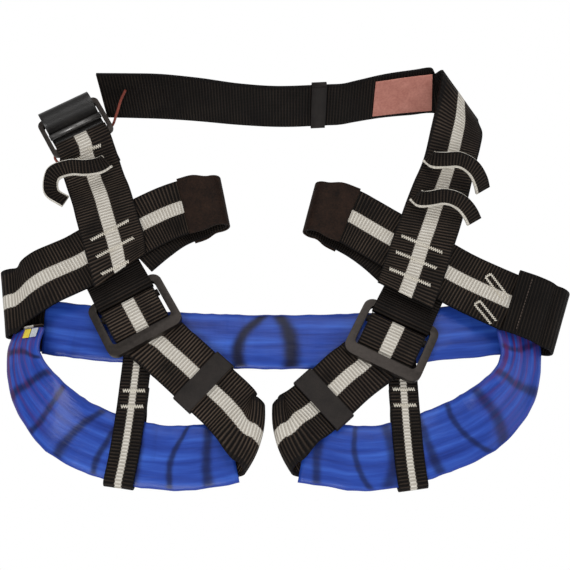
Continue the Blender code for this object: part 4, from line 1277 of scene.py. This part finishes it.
def threads(name, ends, finish, radius):
    """Round threads laid on the surface between pairs of places in the lay-out."""
    graph = bpy.context.evaluated_depsgraph_get()
    bm = bmesh.new()
    for one, two in ends:
        a = surface_at(one.x, one.y, graph)
        b = surface_at(two.x, two.y, graph)
        if abs(a.z - b.z) > FLAT_STITCH_STEP:
            continue
        turn = Vector((0, 0, 1)).rotation_difference(b - a).to_matrix().to_4x4()
        bmesh.ops.create_cone(
            bm,
            cap_ends=True,
            segments=6,
            radius1=radius * MM,
            radius2=radius * MM,
            depth=(b - a).length,
            matrix=Matrix.Translation((a + b) / 2) @ turn,
        )
    for face in bm.faces:
        face.smooth = True
    mesh = bpy.data.meshes.new(name)
    bm.to_mesh(mesh)
    bm.free()
    return show(name, mesh, look_of(name, finish))


def stitches(name, start, end, width=2.4, pitch=0.8):
    """A bar tack: slanted threads side by side from start to end."""
    start = Vector((*start, 0))
    run = Vector((*end, 0)) - start
    count = max(3, round(run.length / pitch))
    run = run / count
    side = Vector((-run.y, run.x, 0)).normalized() * width / 2
    ends = []
    for i in range(count):
        middle = start + run * (i + 0.5)
        lean = run * (0.5 if i % 2 else -0.5)
        ends.append((middle - side - lean, middle + side + lean))
    threads(name, ends, "thread", 0.36)


def running_stitch(name, start, end, finish, step=2.4):
    """A row of short threads that follow their own line."""
    start = Vector((*start, 0))
    run = Vector((*end, 0)) - start
    count = max(2, round(run.length / step))
    ends = [(start + run * (i + 0.15) / count, start + run * (i + 0.85) / count) for i in range(count)]
    threads(name, ends, finish, 0.34)


def all_stitching():
    """Bar tacks on the arms, the drop straps and the right tie-in strap, and lines on the wraps."""
    bpy.context.view_layer.update()
    tacks = [
        ((-139, 27.0), (-113, 42.6)),
        ((-134, 14.0), (-108.6, 29.0)),
        ((-129.4, 1.0), (-103.7, 14.6)),
        ((83.6, 30.5), (112, 17.4)),
        ((79, 18.2), (107, 5.4)),
        ((73.8, 5.2), (102, -7.4)),
        ((-110.5, -80), (-95.5, -80)),
        ((-111.0, -91), (-96.0, -91)),
        ((73.5, -79), (88.5, -79)),
        ((73.7, -90), (88.9, -90)),
        ((-147.5, 101.5), (-138.5, 105.5)),
        ((-146.0, 92.5), (-136.5, 97.0)),
        ((-160.5, 92.0), (-152.5, 95.5)),
        ((-158.0, 84.0), (-149.5, 88.0)),
    ]
    for number, (start, end) in enumerate(tacks):
        stitches(f"tack_{number + 1}", start, end)
    lines = [
        ((145.0, 1.3), (155.5, -16.8)),
        ((141.2, -1.0), (151.7, -19.0)),
        ((145.0, 1.3), (141.2, -1.0)),
        ((135.6, -19.0), (145.2, -34.0)),
        ((131.8, -21.3), (141.4, -36.0)),
        ((135.6, -19.0), (131.8, -21.3)),
    ]
    for number, (start, end) in enumerate(lines):
        stitches(f"box_tack_{number + 1}", start, end, width=1.6)
    running_stitch("wrap_stitch", (172.5, -4.0), (157.5, -41.0), "dark_thread")


def stage():
    """Pale floor, soft lights and the camera."""
    scene = bpy.context.scene
    floor_mesh = bpy.data.meshes.new("floor")
    bm = bmesh.new()
    bmesh.ops.create_grid(bm, x_segments=1, y_segments=1, size=2.5)
    bm.to_mesh(floor_mesh)
    bm.free()
    floor = bpy.data.objects.new("floor", floor_mesh)
    floor.location.z = -0.0004
    scene.collection.objects.link(floor)
    g = Graph("floor")
    tone = g.solid_noise(2.0, 2)
    paper = g.mix(tone, (0.80, 0.80, 0.80), (0.86, 0.86, 0.86))
    g.feed(g.shader.inputs["Base Color"], paper)
    g.shader.inputs["Roughness"].default_value = 0.9
    glow = g.node("ShaderNodeEmission", {"Color": (1, 1, 1, 1), "Strength": 1.0})
    seen = g.node("ShaderNodeLightPath").outputs["Is Camera Ray"]
    both = g.node("ShaderNodeMixShader", {0: seen})
    g.feed(both.inputs[1], g.shader.outputs[0])
    g.feed(both.inputs[2], glow.outputs[0])
    g.feed(g.tree.nodes["Material Output"].inputs["Surface"], both.outputs[0])
    floor_mesh.materials.append(g.made)
    for name, place_at, size, power, aim in (
        ("key", (-0.35, -0.75, 1.05), 0.6, 8.0, (0, 0, 0.02)),
        ("fill", (0.95, -0.25, 0.85), 0.9, 3.0, (0, 0, 0.02)),
        ("top", (0.1, 0.65, 1.25), 0.8, 4.5, (0, 0, 0)),
    ):
        data = bpy.data.lights.new(name, "AREA")
        data.energy = power
        data.size = size
        lamp = bpy.data.objects.new(name, data)
        lamp.location = place_at
        lamp.rotation_euler = (Vector(aim) - Vector(place_at)).to_track_quat("-Z", "Y").to_euler()
        scene.collection.objects.link(lamp)
    world = bpy.data.worlds.new("studio")
    world.use_nodes = True
    tree = world.node_tree
    back = tree.nodes["Background"]
    back.inputs["Color"].default_value = (1, 1, 1, 1)
    path = tree.nodes.new("ShaderNodeLightPath")
    level = tree.nodes.new("ShaderNodeMapRange")
    level.inputs["To Min"].default_value = 0.36
    level.inputs["To Max"].default_value = 1.0
    tree.links.new(path.outputs["Is Camera Ray"], level.inputs["Value"])
    tree.links.new(level.outputs[0], back.inputs["Strength"])
    scene.world = world
    data = bpy.data.cameras.new("camera")
    data.lens = 50.0
    data.sensor_width = 36.0
    data.clip_start = 0.01
    camera = bpy.data.objects.new("camera", data)
    camera.location = place(Vector((0, -197.0, 541.3)))
    camera.rotation_euler = (math.radians(20), 0, 0)
    scene.collection.objects.link(camera)
    scene.camera = camera
    scene.view_settings.view_transform = "Standard"


class HarnessSettings(bpy.types.PropertyGroup):
    rib_pitch: bpy.props.FloatProperty(
        name="Rib pitch", description="Distance between two ribs of the webbing", default=0.0023,
        unit="LENGTH", subtype="DISTANCE",
    )
    stripe_share: bpy.props.FloatProperty(
        name="Stripe", description="Share of the webbing's width that the pale stripe takes", default=0.25,
        subtype="FACTOR",
    )
    softness: bpy.props.FloatProperty(
        name="Softness", description="Height of the webbing's gentle waves in millimetres", default=0.12
    )
    wrinkle: bpy.props.FloatProperty(
        name="Wrinkles", description="Height of the sleeves' wrinkles in millimetres", default=0.5
    )


class HARNESS_OT_belt(bpy.types.Operator):
    """Builds the belt, its label, its slider and its adjuster"""

    bl_idname = "harness.belt"
    bl_label = "Belt"

    def execute(self, context):
        waist_buckle()
        waist_belt()
        left_waist_strap()
        cord()
        return {"FINISHED"}


class HARNESS_OT_gear_loops(bpy.types.Operator):
    """Builds the three gear loops"""

    bl_idname = "harness.gear_loops"
    bl_label = "Gear loops"

    def execute(self, context):
        gear_loops()
        return {"FINISHED"}


class HARNESS_OT_tie_in(bpy.types.Operator):
    """Builds both tie-in straps, their covers and the right hip wrap"""

    bl_idname = "harness.tie_in"
    bl_label = "Tie-in straps"

    def execute(self, context):
        left_tie_in()
        right_tie_in()
        right_hip_wrap()
        return {"FINISHED"}


class HARNESS_OT_leg_loops(bpy.types.Operator):
    """Builds the leg loops with their sleeves, buckles, sliders and drop straps"""

    bl_idname = "harness.leg_loops"
    bl_label = "Leg loops"

    def execute(self, context):
        leg_loops()
        hip_tags()
        return {"FINISHED"}


class HARNESS_OT_seat(bpy.types.Operator):
    """Builds the seat band"""

    bl_idname = "harness.seat"
    bl_label = "Seat band"

    def execute(self, context):
        seat_band()
        return {"FINISHED"}


class HARNESS_OT_stitching(bpy.types.Operator):
    """Lays the stitching on the straps"""

    bl_idname = "harness.stitching"
    bl_label = "Stitching"

    def execute(self, context):
        all_stitching()
        return {"FINISHED"}


class HARNESS_OT_stage(bpy.types.Operator):
    """Adds the floor, the lights and the camera"""

    bl_idname = "harness.stage"
    bl_label = "Stage"

    def execute(self, context):
        stage()
        return {"FINISHED"}


OPERATORS = (
    HARNESS_OT_belt,
    HARNESS_OT_gear_loops,
    HARNESS_OT_tie_in,
    HARNESS_OT_leg_loops,
    HARNESS_OT_seat,
    HARNESS_OT_stitching,
    HARNESS_OT_stage,
)


class HARNESS_PT_panel(bpy.types.Panel):
    bl_label = "Harness"
    bl_space_type = "VIEW_3D"
    bl_region_type = "UI"
    bl_category = "Harness"

    def draw(self, context):
        for name in ("rib_pitch", "stripe_share", "softness", "wrinkle"):
            self.layout.prop(context.scene.harness_settings, name)
        for operator in OPERATORS:
            self.layout.operator(operator.bl_idname)


CLASSES = (HarnessSettings, *OPERATORS, HARNESS_PT_panel)


def register():
    for item in CLASSES:
        bpy.utils.register_class(item)
    bpy.types.Scene.harness_settings = bpy.props.PointerProperty(type=HarnessSettings)


def unregister():
    del bpy.types.Scene.harness_settings
    for item in reversed(CLASSES):
        bpy.utils.unregister_class(item)


def main():
    """Builds everything in order."""
    register()
    for operator in OPERATORS:
        word = operator.bl_idname.split(".")[1]
        if getattr(bpy.ops.harness, word)() != {"FINISHED"}:
            raise RuntimeError(f"{operator.bl_label} did not finish")


if __name__ == "__main__":
    main()
